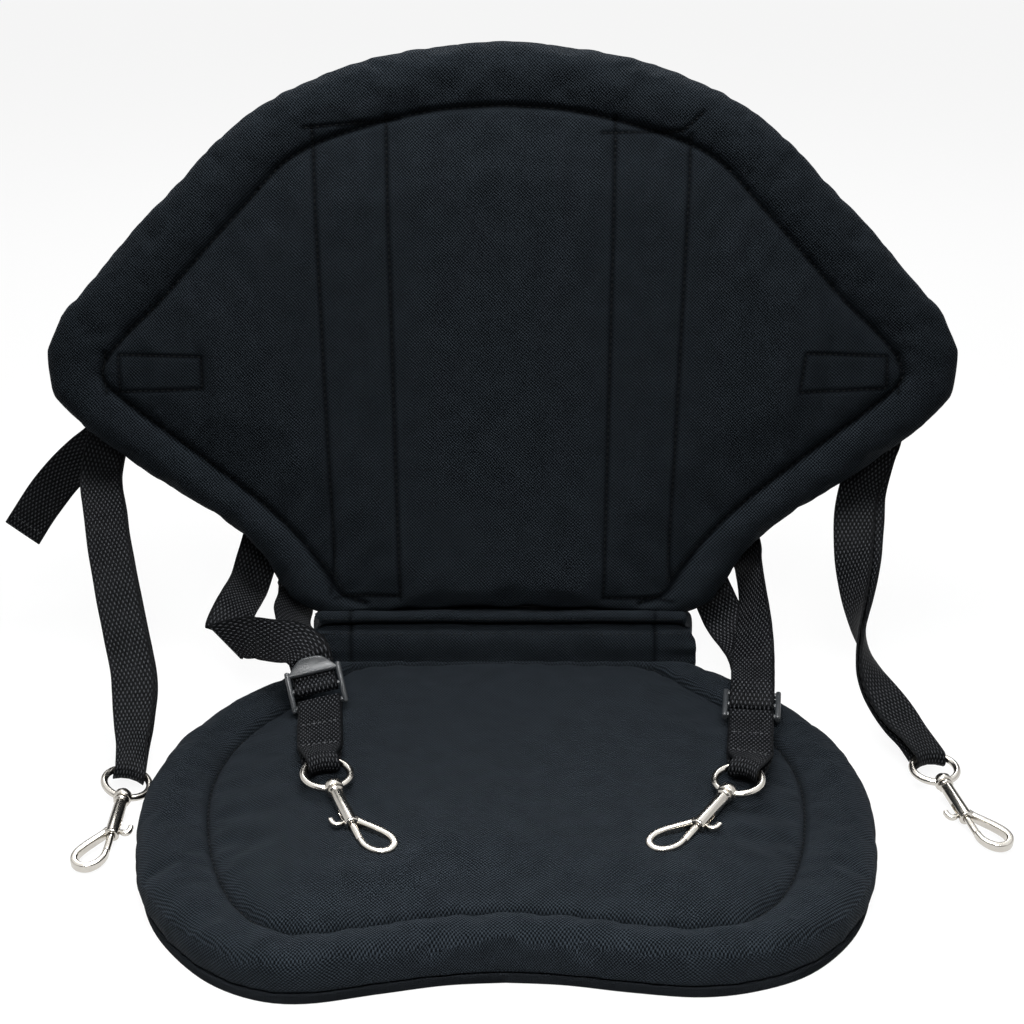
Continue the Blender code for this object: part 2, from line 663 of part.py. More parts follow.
def link(name, buckle_at, place, finish):
    """A short loop of webbing sewn between a buckle's end bar and a snap's eye."""
    bar = buckle_at @ Vector((0, -BUCKLE_PITCH, 0))
    run = place.wire - bar
    ahead = run.normalized()
    start_across = buckle_at.to_3x3() @ Vector((1, 0, 0))
    if start_across.dot(place.across) < 0:
        start_across = -start_across

    def at(share, level):
        across = start_across.lerp(place.across, share)
        across = (across - ahead * across.dot(ahead)).normalized()
        out = ahead.cross(across)
        squeeze = max(0.0, (share - 0.7) / 0.3) ** 2
        return (bar + run * share + out * (level * LAYER_STEP / 2), across,
                WEB_WIDTH + (WEB_PINCHED - WEB_WIDTH) * squeeze)

    across = place.across
    eye_centre = place.wire + place.ahead * EYE_SAG / 2
    round_eye = turn_about(eye_centre, -ahead.cross(across).normalized(), EYE_WRAP, -across, pi, 6, across,
                           WEB_PINCHED)
    first = (start_across - ahead * start_across.dot(ahead)).normalized()
    round_bar = turn_about(bar, ahead.cross(first), WRAP_RADIUS_BAR, -first, pi, 6, first, WEB_WIDTH)
    under = [at(share, -1) for share in (0.49, 0.58, 0.68, 0.78)]
    over = [at(share, 1) for share in (0.78, 0.68, 0.58, 0.45, 0.3, 0.14)]
    close = [at(share, -1) for share in (0.14, 0.3, 0.46)]
    return ribbon(name, under + round_eye + over + round_bar + close, finish)


# Upper straps: sewn behind each wing, down to a snap on the floor, and back up to a buckle

ANCHOR_U = 234 * MM
TAB_FROM_U = 176 * MM
TAB_V = 137 * MM            # middle of the horizontal tab, behind the sewn box
UPPER_BUCKLE_V = 122 * MM
UPPER_BUCKLE_W = PANEL_REAR - 9.0 * MM
STRAP_LEAN = radians(12)    # both straps hang leaning to the sitter's right
STRAP_SEWN_UP = -1.0 * MM   # top of the strap's sewn end, just under the tab
STRAP_SEWN_LONG = 18.0 * MM
HUNG_ACROSS = Vector((1, 0, 0)) * cos(STRAP_LEAN) - BACK_UP * sin(STRAP_LEAN)


def hung(side, up, w):
    """A point on the middle line of the leaning buckle and strap, measured from the middle bar."""
    return on_back(side * ANCHOR_U + up * sin(STRAP_LEAN), UPPER_BUCKLE_V + up * cos(STRAP_LEAN), w)


def upper_buckle_at(side):
    return frame_matrix(hung(side, 0, UPPER_BUCKLE_W), HUNG_ACROSS, -BACK_OUT)


def wing_anchor(name, side, finish):
    """A webbing tab sewn across behind the wing, folded down round the buckle's end bar."""
    face = PANEL_REAR - TOUCH
    rings = []
    for u in np.linspace(TAB_FROM_U, ANCHOR_U + WEB_WIDTH / 2, 5):
        rings.append([on_back(side * u, TAB_V + a * WEB_WIDTH / 2, face - d)
                      for a, d in ((-1, 0), (1, 0), (1, WEB_THICK), (-1, WEB_THICK))])
    tab = temporary(loft(name, rings))
    bar_up = BUCKLE_PITCH
    bar = hung(side, bar_up, UPPER_BUCKLE_W)
    top = (TAB_V + WEB_WIDTH / 2 - UPPER_BUCKLE_V) / cos(STRAP_LEAN) - 3.5 * MM
    inner = face - 1.5 * WEB_THICK + 0.4 * MM
    outer = inner - WEB_THICK - TOUCH
    width = WEB_WIDTH - 0.4 * MM

    def leg_at(up, w):
        return (hung(side, up, w), HUNG_ACROSS, width)

    down = [leg_at(top, inner), leg_at(bar_up + 7 * MM, inner),
            leg_at(bar_up + 3.5 * MM, UPPER_BUCKLE_W + 3.4 * MM)]
    turn = turn_about(bar, BACK_OUT, WRAP_RADIUS_BAR, HUNG_ACROSS, pi, 6, HUNG_ACROSS, width)
    if (turn[3][0] - bar).dot(BACK_UP) > 0:
        turn = turn_about(bar, BACK_OUT, WRAP_RADIUS_BAR, -HUNG_ACROSS, pi, 6, HUNG_ACROSS, width)
    rise = [leg_at(bar_up + 4 * MM, UPPER_BUCKLE_W - 2.4 * MM), leg_at(bar_up + 10 * MM, outer - 1.0 * MM),
            leg_at(top - 1 * MM, outer)]
    leg = ribbon("leg", down + turn + rise, finish)
    combine(tab, leg, "UNION")
    mesh = tab.data
    bpy.data.objects.remove(tab)
    return add_object(name, mesh, finish, smooth_angle=50)


# Centre line of each upper strap as (x, y, z, twist in degrees), from the wing to the snap's eye
UPPER_ROUTES = {
    "left": [(-239, 212.2, 145.9, 0), (-241.5, 209.2, 135.3, 0), (-243, 204.5, 126.5, 0),
             (-241.3, 192, 120.5, 0), (-237.3, 176, 113.5, 0), (-232.3, 155, 102.5, 0),
             (-225.9, 133, 88, 0), (-218.6, 111, 69, 0), (-210.9, 88, 49, 0), (-208.5, 66, 33.5, 0),
             (-207.5, 51, 23.5, 0)],
    "right": [(228.5, 211.6, 143.5, 0), (224.5, 208.6, 133, 0), (220.5, 204.8, 122.5, 0),
              (216.5, 195, 113.5, 4), (213.5, 178, 102, 14), (211.5, 160, 87, 35), (210.5, 141, 71, 64),
              (210.5, 121, 55, 100), (215, 101, 40, 142), (225, 83, 27.5, 170), (233.5, 68, 20.5, 180)]}
# How far the two layers slide apart sideways: at the wing, and near the snap
LAYER_SPLAY = {"left": (0.0, 2.2 * MM), "right": (7.0 * MM, 0.0)}
# The free end beyond each buckle as (u, v, w) on the backrest
TAIL_ROUTES = {
    "left": [(-238.5, 101, -25.5), (-245, 92, -27), (-256, 83, -29), (-270, 70, -33), (-284, 53, -38),
             (-298, 33, -45)],
    "right": [(229.5, 99, -26), (228, 91, -28), (226.5, 84, -31)]}


def upper_strap(name, key, side, place, finish):
    route = np.array(UPPER_ROUTES[key], float)
    rows = evenly(smooth(route), 18)
    centres = []
    for index, row in enumerate(rows):
        before = rows[max(index - 1, 0)]
        after = rows[min(index + 1, len(rows) - 1)]
        ahead = Vector(after[:3] - before[:3]).normalized()
        level = Vector((1, 0, 0))
        level = (level - ahead * level.dot(ahead)).normalized()
        across = Matrix.Rotation(radians(row[3]), 3, ahead) @ level
        share = index / (len(rows) - 1)
        squeeze = max(0.0, (share - 0.8) / 0.2) ** 2
        centres.append((Vector(row[:3]) * MM, across, WEB_WIDTH + (WEB_PINCHED - WEB_WIDTH) * squeeze))
    last = (Vector(rows[-1][:3]) - Vector(rows[-2][:3])).normalized()
    across_eye = place.across if centres[-1][1].dot(place.across) > 0 else -place.across
    there, back = doubled(centres, last, 2.6 * MM, 2 * EYE_WRAP - 1.0 * MM, LAYER_SPLAY[key])
    face = PANEL_REAR - TOUCH - WEB_THICK / 2
    sewn = [(hung(side, STRAP_SEWN_UP - down, face), HUNG_ACROSS, WEB_WIDTH)
            for down in (0.0, STRAP_SEWN_LONG / 2, STRAP_SEWN_LONG)]
    buckle_at = upper_buckle_at(side)
    wrapped = round_middle_bar(buckle_at)
    free = [(on_back(u * MM, v * MM, w * MM), w) for u, v, w in TAIL_ROUTES[key]]
    tail = []
    for index, (point, _) in enumerate(free):
        before = wrapped[-1][0] if index == 0 else free[index - 1][0]
        ahead = (point - before).normalized()
        out = BACK_OUT - ahead * BACK_OUT.dot(ahead)
        tail.append((point, ahead.cross(out.normalized()) * -1, WEB_WIDTH))
    stations = sewn + there + round_the_eye(place, last, across_eye) + back + wrapped + tail
    return ribbon(name, stations, finish)


# Lower straps

class LowerPlace:
    """Where a lower buckle lies: its middle bar, the direction across it and its upward face."""

    def __init__(self, middle, across, face):
        self.matrix = frame_matrix(Vector(middle) * MM, across, face)


LOWER_BUCKLES = {
    "left": LowerPlace((-105.5, 75, 48), (0.974, 0.112, 0.195), (0, -0.865, 0.5)),
    "right": LowerPlace((141, 66, 41.5), (-0.99, 0.12, 0), (0, 0.17, -0.98))}

# Where each is sewn behind the backrest, as (u, v), with its direction across in the same plane
LOWER_SEWN = {"left": [((-113.8, 19.2), (0.81, -0.58)), ((-120.5, 10.0), (0.81, -0.58))],
              "right": [((126.5, 50.0), (0.75, 0.66)), ((136.5, 38.8), (0.75, 0.66))]}
# From the backrest's lower edge to the buckle, as (x, y, z), direction across
LOWER_ROUTES = {
    "left": [((-126, 188.5, 56.6), (0.80, -0.17, -0.57)), ((-125.5, 172, 54.6), (0.80, -0.1, -0.57)),
             ((-125.5, 150, 56.5), (0.80, 0, -0.5)), ((-121, 130, 58.5), (0.88, 0.03, -0.3)),
             ((-117, 113, 61), (0.95, 0.07, 0.0)), ((-112.5, 99, 62), (0.97, 0.1, 0.15))],
    "right": [((147.5, 194, 80.5), (0.72, 0.19, 0.66)), ((148, 180, 72), (0.74, 0.22, 0.62)),
              ((147.5, 158, 60), (0.80, 0.25, 0.5)), ((146.5, 132, 51.5), (0.93, 0.05, 0.3)),
              ((145.2, 104, 47.8), (0.99, -0.1, 0.1))]}
FOLD_AT = (-157, 119, 59.3)
FOLD_WIDTH = 27 * MM
LOWER_TAILS = {
    "left": [((-111, 86.5, 64.2), (0.974, 0.112, 0.195)), ((-119, 94, 66.5), (0.6, 0.3, 0.64)),
             ((-132, 103, 65.2), (-0.1, 0.5, 0.86)), ((-143, 112, 64.2), (-0.45, 0.45, 0.77))],
    "left_after": [((-157, 131, 61), (-0.91, 0.19, 0.33)), ((-151.5, 149, 63), (-0.84, 0.18, 0.5)),
                   ((-143.5, 173, 61), (-0.76, 0.18, 0.62)), ((-143, 191.5, 60.5), (-0.74, 0.18, 0.65)),
                   ((-140.5, 202, 74), (-0.78, 0.2, 0.58)), ((-138, 206, 93), (-0.9, 0.1, 0.3)),
                   ((-137, 209, 110), (-1, 0, 0))],
    "right": [((144.5, 96, 42.8), (-0.99, 0.12, 0)), ((145.5, 118, 41), (-1, 0, 0)),
              ((142.5, 141, 41), (-1, 0.05, -0.1)), ((134, 163, 47), (-0.92, -0.1, -0.35)),
              ((127.5, 186, 55.5), (-0.82, -0.17, -0.55)), ((121.5, 195, 66), (-0.81, -0.15, -0.56)),
              ((115, 199, 77), (-0.85, -0.14, -0.5))]}


def flat_fold():
    """Webbing turned back on itself along a slanting line, as stations round that line."""
    face = Vector((0, -0.86, 0.5)).normalized()
    right = Vector((1, 0, 0))
    down = right.cross(face) * -1
    if down.z > 0:
        down = -down
    line = (-(right + down)).normalized()
    arriving = (right * -0.92 + down * 0.39).normalized()
    outward = (arriving - line * arriving.dot(line)).normalized()
    radius = LAYER_STEP / 2
    centre = Vector(FOLD_AT) * MM - face * radius
    return turn_about(centre, face, radius, face.cross(outward).normalized(), pi, 4, line, FOLD_WIDTH)


def lower_strap(name, key, finish):
    face = PANEL_REAR - TOUCH - WEB_THICK / 2
    sewn = [(on_back(u * MM, v * MM, face), Vector((a, 0, 0)) + BACK_UP * b, WEB_WIDTH)
            for (u, v), (a, b) in LOWER_SEWN[key]]
    route = [(Vector(point) * MM, Vector(across), WEB_WIDTH) for point, across in LOWER_ROUTES[key]]
    wrapped = round_middle_bar(LOWER_BUCKLES[key].matrix)
    sign = 1 if wrapped[0][1].x > 0 else -1
    wrapped = [(point, across * sign, width) for point, across, width in wrapped]
    tail = [(Vector(point) * MM, Vector(across) * (1 if key == "left" else -1), WEB_WIDTH)
            for point, across in LOWER_TAILS[key]]
    stations = soften(sewn + route + wrapped[:1], 16)[:-1] + wrapped + soften(wrapped[-1:] + tail, 10)[1:]
    if key == "left":
        after = [(Vector(point) * MM, Vector(across), WEB_WIDTH)
                 for point, across in LOWER_TAILS["left_after"]]
        stations += flat_fold() + soften(after, 8)
    return ribbon(name, stations, finish)


def soften(stations, steps):
    """Even stations on a smooth curve through the given ones."""
    rows = np.array([[*point, *across, width] for point, across, width in stations], float)
    rows = evenly(smooth(rows, per_span=6), steps)
    return [(Vector(row[:3]), Vector(row[3:6]), row[6]) for row in rows]


# The whole seat

SNAPS = [
    SnapPlace("upper_left", (-208.5, 15, 12), (-210.7, -31.2, 5.5), False, 0, -14),
    SnapPlace("upper_right", (245.5, 31.3, 12), (257.1, -15.4, 5.5), True, 0, 0),
    SnapPlace("lower_left", (-88.3, -29, 44), (-71.3, -72.9, 38), True, 0, 0),
    SnapPlace("lower_right", (118.4, -34, 44), (92.8, -72.9, 38), False, 0, 0)]


def build():
    for obj in list(bpy.data.objects):
        bpy.data.objects.remove(obj, do_unlink=True)
    cloth = material("black_cloth", (0.013, 0.017, 0.021), 0.85)
    grip = material("base_cloth", (0.010, 0.011, 0.012), 0.9)
    webbing = material("black_webbing", (0.010, 0.010, 0.012), 0.75)
    plastic = material("black_acetal", (0.02, 0.02, 0.022), 0.35)
    batten_finish = material("batten_plastic", (0.55, 0.55, 0.52), 0.5)
    nickel = material("nickel_plate", (0.72, 0.70, 0.66), 0.18, 1.0)
    spring_wire = material("spring_wire", (0.50, 0.50, 0.50), 0.35, 1.0)

    sheet_panel("seat_base", SEAT_OUTLINE, on_seat, 0.0, BASE_THICK, BASE_INSET, grip)
    pad("seat_pad", SEAT_OUTLINE, on_seat, BASE_THICK + TOUCH, SEAT_THICK, SEAT_GROOVE, SEAT_CROWN,
        (0.0, 0.0), cloth)
    sheet_panel("backrest_rear_panel", BACK_OUTLINE, on_back, PANEL_REAR, REAR_PANEL_THICK,
                REAR_PANEL_INSET, grip)
    pad("backrest_pad", BACK_OUTLINE, on_back, BACK_REAR, BACK_THICK, BACK_GROOVE, BACK_CROWN,
        (0.0, BACK_MIDDLE_V), cloth)
    neck(cloth)

    snaps = {place.key: place for place in SNAPS}
    for side, key in ((-1, "left"), (1, "right")):
        batten(f"batten_{key}", side, batten_finish)
        pocket(f"batten_pocket_{key}", side, cloth)
        wing_anchor(f"wing_anchor_{key}", side, webbing)
        buckle(f"upper_buckle_{key}", upper_buckle_at(side), plastic)
        upper_strap(f"upper_strap_{key}", key, side, snaps[f"upper_{key}"], webbing)
        buckle(f"lower_buckle_{key}", LOWER_BUCKLES[key].matrix, plastic)
        lower_strap(f"lower_strap_{key}", key, webbing)
        link(f"lower_link_{key}", LOWER_BUCKLES[key].matrix, snaps[f"lower_{key}"], webbing)

    for place in SNAPS:
        axis = bpy.data.objects.new(f"swivel_axis_{place.key}", None)
        axis.matrix_world = place.matrix
        bpy.context.collection.objects.link(axis)
        eye_axis = bpy.data.objects.new(f"eye_frame_{place.key}", None)
        eye_axis.matrix_world = place.eye_matrix
        bpy.context.collection.objects.link(eye_axis)
        snap_eye(f"snap_eye_{place.key}", nickel, eye_axis)
        snap_body(f"snap_body_{place.key}", nickel, axis)
        snap_bolt(f"snap_bolt_{place.key}", nickel, axis)
        snap_spring(f"snap_spring_{place.key}", spring_wire, axis)


build()
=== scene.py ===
"""Looks of the kayak seat: stuffed pads, sewn neck, webbing, ladder-lock buckles and bolt snaps.

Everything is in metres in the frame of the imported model. The backrest leans, so its pieces are
laid out on its own plane: u across, v up the back, w out of its front.
"""
from math import cos, pi, radians, sin

import bmesh
import bpy
import numpy as np
from mathutils import Matrix, Vector
from mathutils.bvhtree import BVHTree


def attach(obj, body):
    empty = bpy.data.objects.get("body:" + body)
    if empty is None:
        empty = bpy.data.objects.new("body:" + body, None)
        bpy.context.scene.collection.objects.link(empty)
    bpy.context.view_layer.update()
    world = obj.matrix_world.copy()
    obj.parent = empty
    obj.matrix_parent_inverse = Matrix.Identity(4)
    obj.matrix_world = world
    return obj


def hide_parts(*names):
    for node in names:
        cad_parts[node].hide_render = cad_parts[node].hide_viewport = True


MM = 0.001
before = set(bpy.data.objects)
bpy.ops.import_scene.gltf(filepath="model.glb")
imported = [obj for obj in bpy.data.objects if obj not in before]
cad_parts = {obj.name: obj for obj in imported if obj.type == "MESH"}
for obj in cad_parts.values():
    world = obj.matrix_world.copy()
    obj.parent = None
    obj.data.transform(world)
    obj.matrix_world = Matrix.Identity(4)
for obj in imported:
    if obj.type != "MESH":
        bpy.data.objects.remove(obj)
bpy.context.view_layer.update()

# The photograph's view
VIEW_DOWN = radians(23.72386)
VIEW_DISTANCE = 1.265
VIEW_TARGET = Vector((5.559, 90.609, 150.0)) * MM
LENS = 80

# Light: its name, place, aim, size, watts and beam in degrees
WORLD_LIGHT = 0.05
LAMPS = [("overhead_panel", (0.0, 0.0, 0.80), (0.0, 0.1, 0.1), (0.5, 0.3), 6.3, 180),
         ("front_panel", (0.0, -0.95, 0.95), (0.0, -0.28, 0.0), (0.6, 0.3), 2.4, 46),
         ("left_panel", (-1.5, -0.4, 0.9), (0.0, 0.1, 0.15), (0.7, 1.0), 0.2, 180),
         ("right_panel", (1.5, -0.4, 0.9), (0.0, 0.1, 0.15), (0.7, 1.0), 0.4, 180),
         ("rear_panel", (0.0, 1.0, 1.0), (0.0, 0.2, 0.15), (1.0, 0.5), 10.0, 180)]

# The floor: how pale it looks, how much light it throws back, and its own share of white
FLOOR_SEEN = 0.9
FLOOR_BOUNCE = 0.25
FLOOR_GLOW = 1.03
FLOOR_WHITE = 0.88
WHITE = (1, 1, 1, 1)

# The backrest's plane: its lean, where it starts, and the rear sheet behind it
RECLINE = radians(16)
HINGE_Y = 167 * MM
HINGE_Z = 60 * MM
PANEL_REAR = -16.8 * MM
TOUCH = 0.3 * MM
BACK_UP = Vector((0, sin(RECLINE), cos(RECLINE)))
BACK_OUT = Vector((0, -cos(RECLINE), sin(RECLINE)))


# Camera, light and floor

def set_camera():
    ahead = Vector((0, cos(VIEW_DOWN), -sin(VIEW_DOWN)))
    lens = bpy.data.cameras.new("photo_view")
    lens.lens = LENS
    lens.sensor_width = 36
    lens.clip_start = 0.01
    camera = bpy.data.objects.new("photo_view", lens)
    bpy.context.collection.objects.link(camera)
    camera.location = VIEW_TARGET - ahead * VIEW_DISTANCE
    camera.rotation_euler = (pi / 2 - VIEW_DOWN, 0, 0)
    bpy.context.scene.camera = camera


def add_lamp(name, place, aim, size, power, beam=180):
    lamp = bpy.data.lights.new(name, "AREA")
    lamp.shape = "RECTANGLE"
    lamp.size, lamp.size_y = size
    lamp.energy = power
    lamp.spread = radians(beam)
    holder = bpy.data.objects.new(name, lamp)
    bpy.context.collection.objects.link(holder)
    holder.location = place
    holder.rotation_euler = (Vector(aim) - Vector(place)).to_track_quat("-Z", "Y").to_euler()


def nodes_of(owner):
    owner.use_nodes = True
    tree = owner.node_tree
    tree.nodes.clear()
    return tree


def add_node(tree, kind, values=None, **settings):
    node = tree.nodes.new(kind)
    for key, value in settings.items():
        setattr(node, key, value)
    for key, value in (values or {}).items():
        if hasattr(value, "is_output"):
            tree.links.new(value, node.inputs[key])
        else:
            node.inputs[key].default_value = value
    return node


def soft_step(tree, value, start, end, low, high):
    """A value that rises softly from low to high between two places."""
    ends = {"Value": value, "From Min": start, "From Max": end, "To Min": low, "To Max": high}
    node = add_node(tree, "ShaderNodeMapRange", ends, interpolation_type="SMOOTHSTEP")
    return node.outputs[0]


def light_the_studio():
    """A soft studio: dim all round, brighter above, and white where the camera looks past the seat."""
    world = bpy.data.worlds.new("studio")
    bpy.context.scene.world = world
    tree = nodes_of(world)
    path = add_node(tree, "ShaderNodeLightPath")
    way = add_node(tree, "ShaderNodeTexCoord")
    split = add_node(tree, "ShaderNodeSeparateXYZ", {0: way.outputs["Generated"]})
    above = soft_step(tree, split.outputs[2], 0.50, 0.66, 0.03, 1.3)
    aside = soft_step(tree, math(tree, "ABSOLUTE", split.outputs[0]), 0.55, 0.75, 0.0, 0.75)
    bright = math(tree, "MAXIMUM", above, aside)
    mirror = add_node(tree, "ShaderNodeBackground", {"Color": WHITE, "Strength": bright})
    seen = add_node(tree, "ShaderNodeBackground", {"Color": WHITE, "Strength": 1.0})
    soft = add_node(tree, "ShaderNodeBackground", {"Color": WHITE, "Strength": WORLD_LIGHT})
    glossy = add_node(tree, "ShaderNodeMixShader", {0: path.outputs["Is Glossy Ray"], 1: soft.outputs[0],
                                                    2: mirror.outputs[0]})
    pick = add_node(tree, "ShaderNodeMixShader", {0: path.outputs["Is Camera Ray"], 1: glossy.outputs[0],
                                                  2: seen.outputs[0]})
    add_node(tree, "ShaderNodeOutputWorld", {"Surface": pick.outputs[0]})
    for name, place, aim, size, power, beam in LAMPS:
        add_lamp(name, place, aim, size, power, beam)


def lay_floor():
    """A floor that the camera and bright metal see as white, and that keeps the seat's shadow."""
    bpy.ops.mesh.primitive_plane_add(size=8, location=(0, 0, -0.0006))
    floor = bpy.context.object
    floor.name = "floor"
    finish = bpy.data.materials.new("pale_floor")
    tree = nodes_of(finish)
    path = add_node(tree, "ShaderNodeLightPath")
    seen = math(tree, "ADD", path.outputs["Is Camera Ray"], path.outputs["Is Glossy Ray"], clamp=True)
    share = math(tree, "MULTIPLY", seen, FLOOR_WHITE)
    tone = scaled(tree, seen, FLOOR_SEEN - FLOOR_BOUNCE, FLOOR_BOUNCE)
    paper = add_node(tree, "ShaderNodeBsdfDiffuse", {"Color": tone})
    glow = add_node(tree, "ShaderNodeEmission", {"Color": WHITE, "Strength": FLOOR_GLOW})
    mixed = add_node(tree, "ShaderNodeMixShader", {0: share, 1: paper.outputs[0], 2: glow.outputs[0]})
    add_node(tree, "ShaderNodeOutputMaterial", {"Surface": mixed.outputs[0]})
    floor.data.materials.append(finish)


# Finishes

def math(tree, operation, first, second=0.0, clamp=False):
    node = add_node(tree, "ShaderNodeMath", {0: first, 1: second}, operation=operation, use_clamp=clamp)
    return node.outputs[0]


def scaled(tree, value, factor, base):
    """A value times a factor, on top of a base."""
    node = add_node(tree, "ShaderNodeMath", {0: value, 1: factor, 2: base}, operation="MULTIPLY_ADD")
    return node.outputs[0]


def noise(tree, place, scale, detail):
    node = add_node(tree, "ShaderNodeTexNoise", {"Vector": place, "Scale": scale, "Detail": detail})
    return node.outputs[0]


def mix_colour(tree, share, first, second, blend="MIX"):
    node = add_node(tree, "ShaderNodeMix", data_type="RGBA", blend_type=blend)
    for socket, value in (("Factor_Float", share), ("A_Color", first), ("B_Color", second)):
        target = next(item for item in node.inputs if item.identifier == socket)
        if hasattr(value, "is_output"):
            tree.links.new(value, target)
        else:
            target.default_value = value
    return next(item for item in node.outputs if item.identifier == "Result_Color")


def weave_height(tree, across, along, pitch_across, pitch_along):
    """Threads over and under: staggered bumps, each one thread wide."""
    waves = []
    for value, pitch in ((across, pitch_across), (along, pitch_along)):
        turned = math(tree, "MULTIPLY", value, pi / pitch)
        waves.append(math(tree, "SINE", turned))
    return math(tree, "MULTIPLY", waves[0], waves[1])


def woven_cloth(name, dark, light, pitch, bump, sheen, roughness):
    """Plain-woven polyester. The thread pattern follows the piece's own weave map, in millimetres."""
    finish = bpy.data.materials.new(name)
    tree = nodes_of(finish)
    place = add_node(tree, "ShaderNodeUVMap", uv_map="weave")
    split = add_node(tree, "ShaderNodeSeparateXYZ", {0: place.outputs[0]})
    shift = math(tree, "MULTIPLY", noise(tree, place.outputs[0], 0.09, 2.0), 2.0)
    across = math(tree, "ADD", split.outputs[0], shift)
    along = math(tree, "ADD", split.outputs[1], shift)
    height = weave_height(tree, across, along, pitch, pitch)
    thread_noise = noise(tree, place.outputs[0], 0.8, 3.0)
    patches = noise(tree, place.outputs[0], 0.072, 4.0)
    level = scaled(tree, height, 0.80, 0.10)
    grainy = math(tree, "MULTIPLY", thread_noise, 0.55)
    level = math(tree, "ADD", level, grainy)
    faded = scaled(tree, patches, 0.5, -0.25)
    level = math(tree, "ADD", level, faded, clamp=True)
    # Painted shade: the colour is darkened where the crease attribute marks seams and creases.
    crease_shade = add_node(tree, "ShaderNodeAttribute", attribute_name="crease_shade")
    unshaded_share = scaled(tree, crease_shade.outputs["Fac"], -0.85, 1.0)
    level = math(tree, "MULTIPLY", level, unshaded_share)
    colour = mix_colour(tree, level, (*dark, 1), (*light, 1))
    rough = scaled(tree, thread_noise, 0.16, roughness)
    relief = math(tree, "ADD", height, math(tree, "MULTIPLY", thread_noise, 0.8))
    raised = add_node(tree, "ShaderNodeBump", {"Height": relief, "Strength": bump, "Distance": 0.00035})
    shader = add_node(tree, "ShaderNodeBsdfPrincipled", {
        "Base Color": colour, "Roughness": rough, "Normal": raised.outputs[0], "Sheen Weight": sheen,
        "Sheen Roughness": 0.45, "Sheen Tint": (0.75, 0.85, 1.0, 1), "Specular IOR Level": 0.02})
    add_node(tree, "ShaderNodeOutputMaterial", {"Surface": shader.outputs[0]})
    return finish


def moulded_plastic(name, colour, roughness):
    """Moulded plastic with a fine spark grain and slightly cloudy colour."""
    finish = bpy.data.materials.new(name)
    tree = nodes_of(finish)
    place = add_node(tree, "ShaderNodeTexCoord")
    grain = noise(tree, place.outputs["Object"], 900.0, 3.0)
    cloud = noise(tree, place.outputs["Object"], 90.0, 3.0)
    tone = mix_colour(tree, cloud, (*[c * 0.75 for c in colour], 1), (*[c * 1.3 for c in colour], 1))
    rough = scaled(tree, grain, 0.15, roughness - 0.07)
    raised = add_node(tree, "ShaderNodeBump", {"Height": grain, "Strength": 0.25, "Distance": 0.00008})
    shader = add_node(tree, "ShaderNodeBsdfPrincipled", {
        "Base Color": tone, "Roughness": rough, "Normal": raised.outputs[0], "Specular IOR Level": 0.5})
    add_node(tree, "ShaderNodeOutputMaterial", {"Surface": shader.outputs[0]})
    return finish


def plated_metal(name, colour, roughness):
    """Bright plate over a casting, whose soft unevenness shows through."""
    finish = bpy.data.materials.new(name)
    tree = nodes_of(finish)
    place = add_node(tree, "ShaderNodeTexCoord")
    cast = noise(tree, place.outputs["Object"], 260.0, 4.0)
    fine = noise(tree, place.outputs["Object"], 1500.0, 3.0)
    tone = mix_colour(tree, cast, (*[c * 0.86 for c in colour], 1), (*colour, 1))
    rough = scaled(tree, cast, 0.10, roughness - 0.05)
    relief = math(tree, "ADD", math(tree, "MULTIPLY", cast, 2.0), math(tree, "MULTIPLY", fine, 0.2))
    raised = add_node(tree, "ShaderNodeBump", {"Height": relief, "Strength": 0.10, "Distance": 0.0001})
    shader = add_node(tree, "ShaderNodeBsdfPrincipled", {
        "Base Color": tone, "Roughness": rough, "Metallic": 1.0, "Normal": raised.outputs[0]})
    add_node(tree, "ShaderNodeOutputMaterial", {"Surface": shader.outputs[0]})
    return finish


# Curves and surfaces

def on_back(u, v, w):
    return Vector((u, HINGE_Y + v * sin(RECLINE) - w * cos(RECLINE),
                   HINGE_Z + v * cos(RECLINE) + w * sin(RECLINE)))


def back_rows(rows):
    """World places of rows of u, v, w."""
    u, v, w = rows.T
    return np.stack([u, HINGE_Y + v * sin(RECLINE) - w * cos(RECLINE),
                     HINGE_Z + v * cos(RECLINE) + w * sin(RECLINE)], axis=1)


def rows_on_back(places):
    """u, v, w of world places."""
    x, y, z = places.T
    y = y - HINGE_Y
    z = z - HINGE_Z
    return np.stack([x, y * sin(RECLINE) + z * cos(RECLINE), z * sin(RECLINE) - y * cos(RECLINE)], axis=1)


def smooth(points, closed=False, per_span=10):
    """Points on a smooth curve through the given ones."""
    rows = np.array([np.ravel(point) for point in points], float)
    count = len(rows)
    spans = count if closed else count - 1
    out = []
    for span in range(spans):
        before, start, end, after = (
            rows[(span + step) % count] if closed else rows[min(max(span + step, 0), count - 1)]
            for step in (-1, 0, 1, 2))
        for part in np.arange(per_span) / per_span:
            out.append(0.5 * (2 * start + (end - before) * part
                              + (2 * before - 5 * start + 4 * end - after) * part ** 2
                              + (3 * start - before - 3 * end + after) * part ** 3))
    if not closed:
        out.append(rows[-1])
    return np.array(out)


def evenly(rows, steps, measure=3):
    legs = np.linalg.norm(np.diff(rows[:, :measure], axis=0), axis=1)
    along = np.concatenate([[0.0], np.cumsum(legs)])
    places = np.linspace(0.0, along[-1], steps + 1)
    return np.stack([np.interp(places, along, column) for column in rows.T], axis=1)


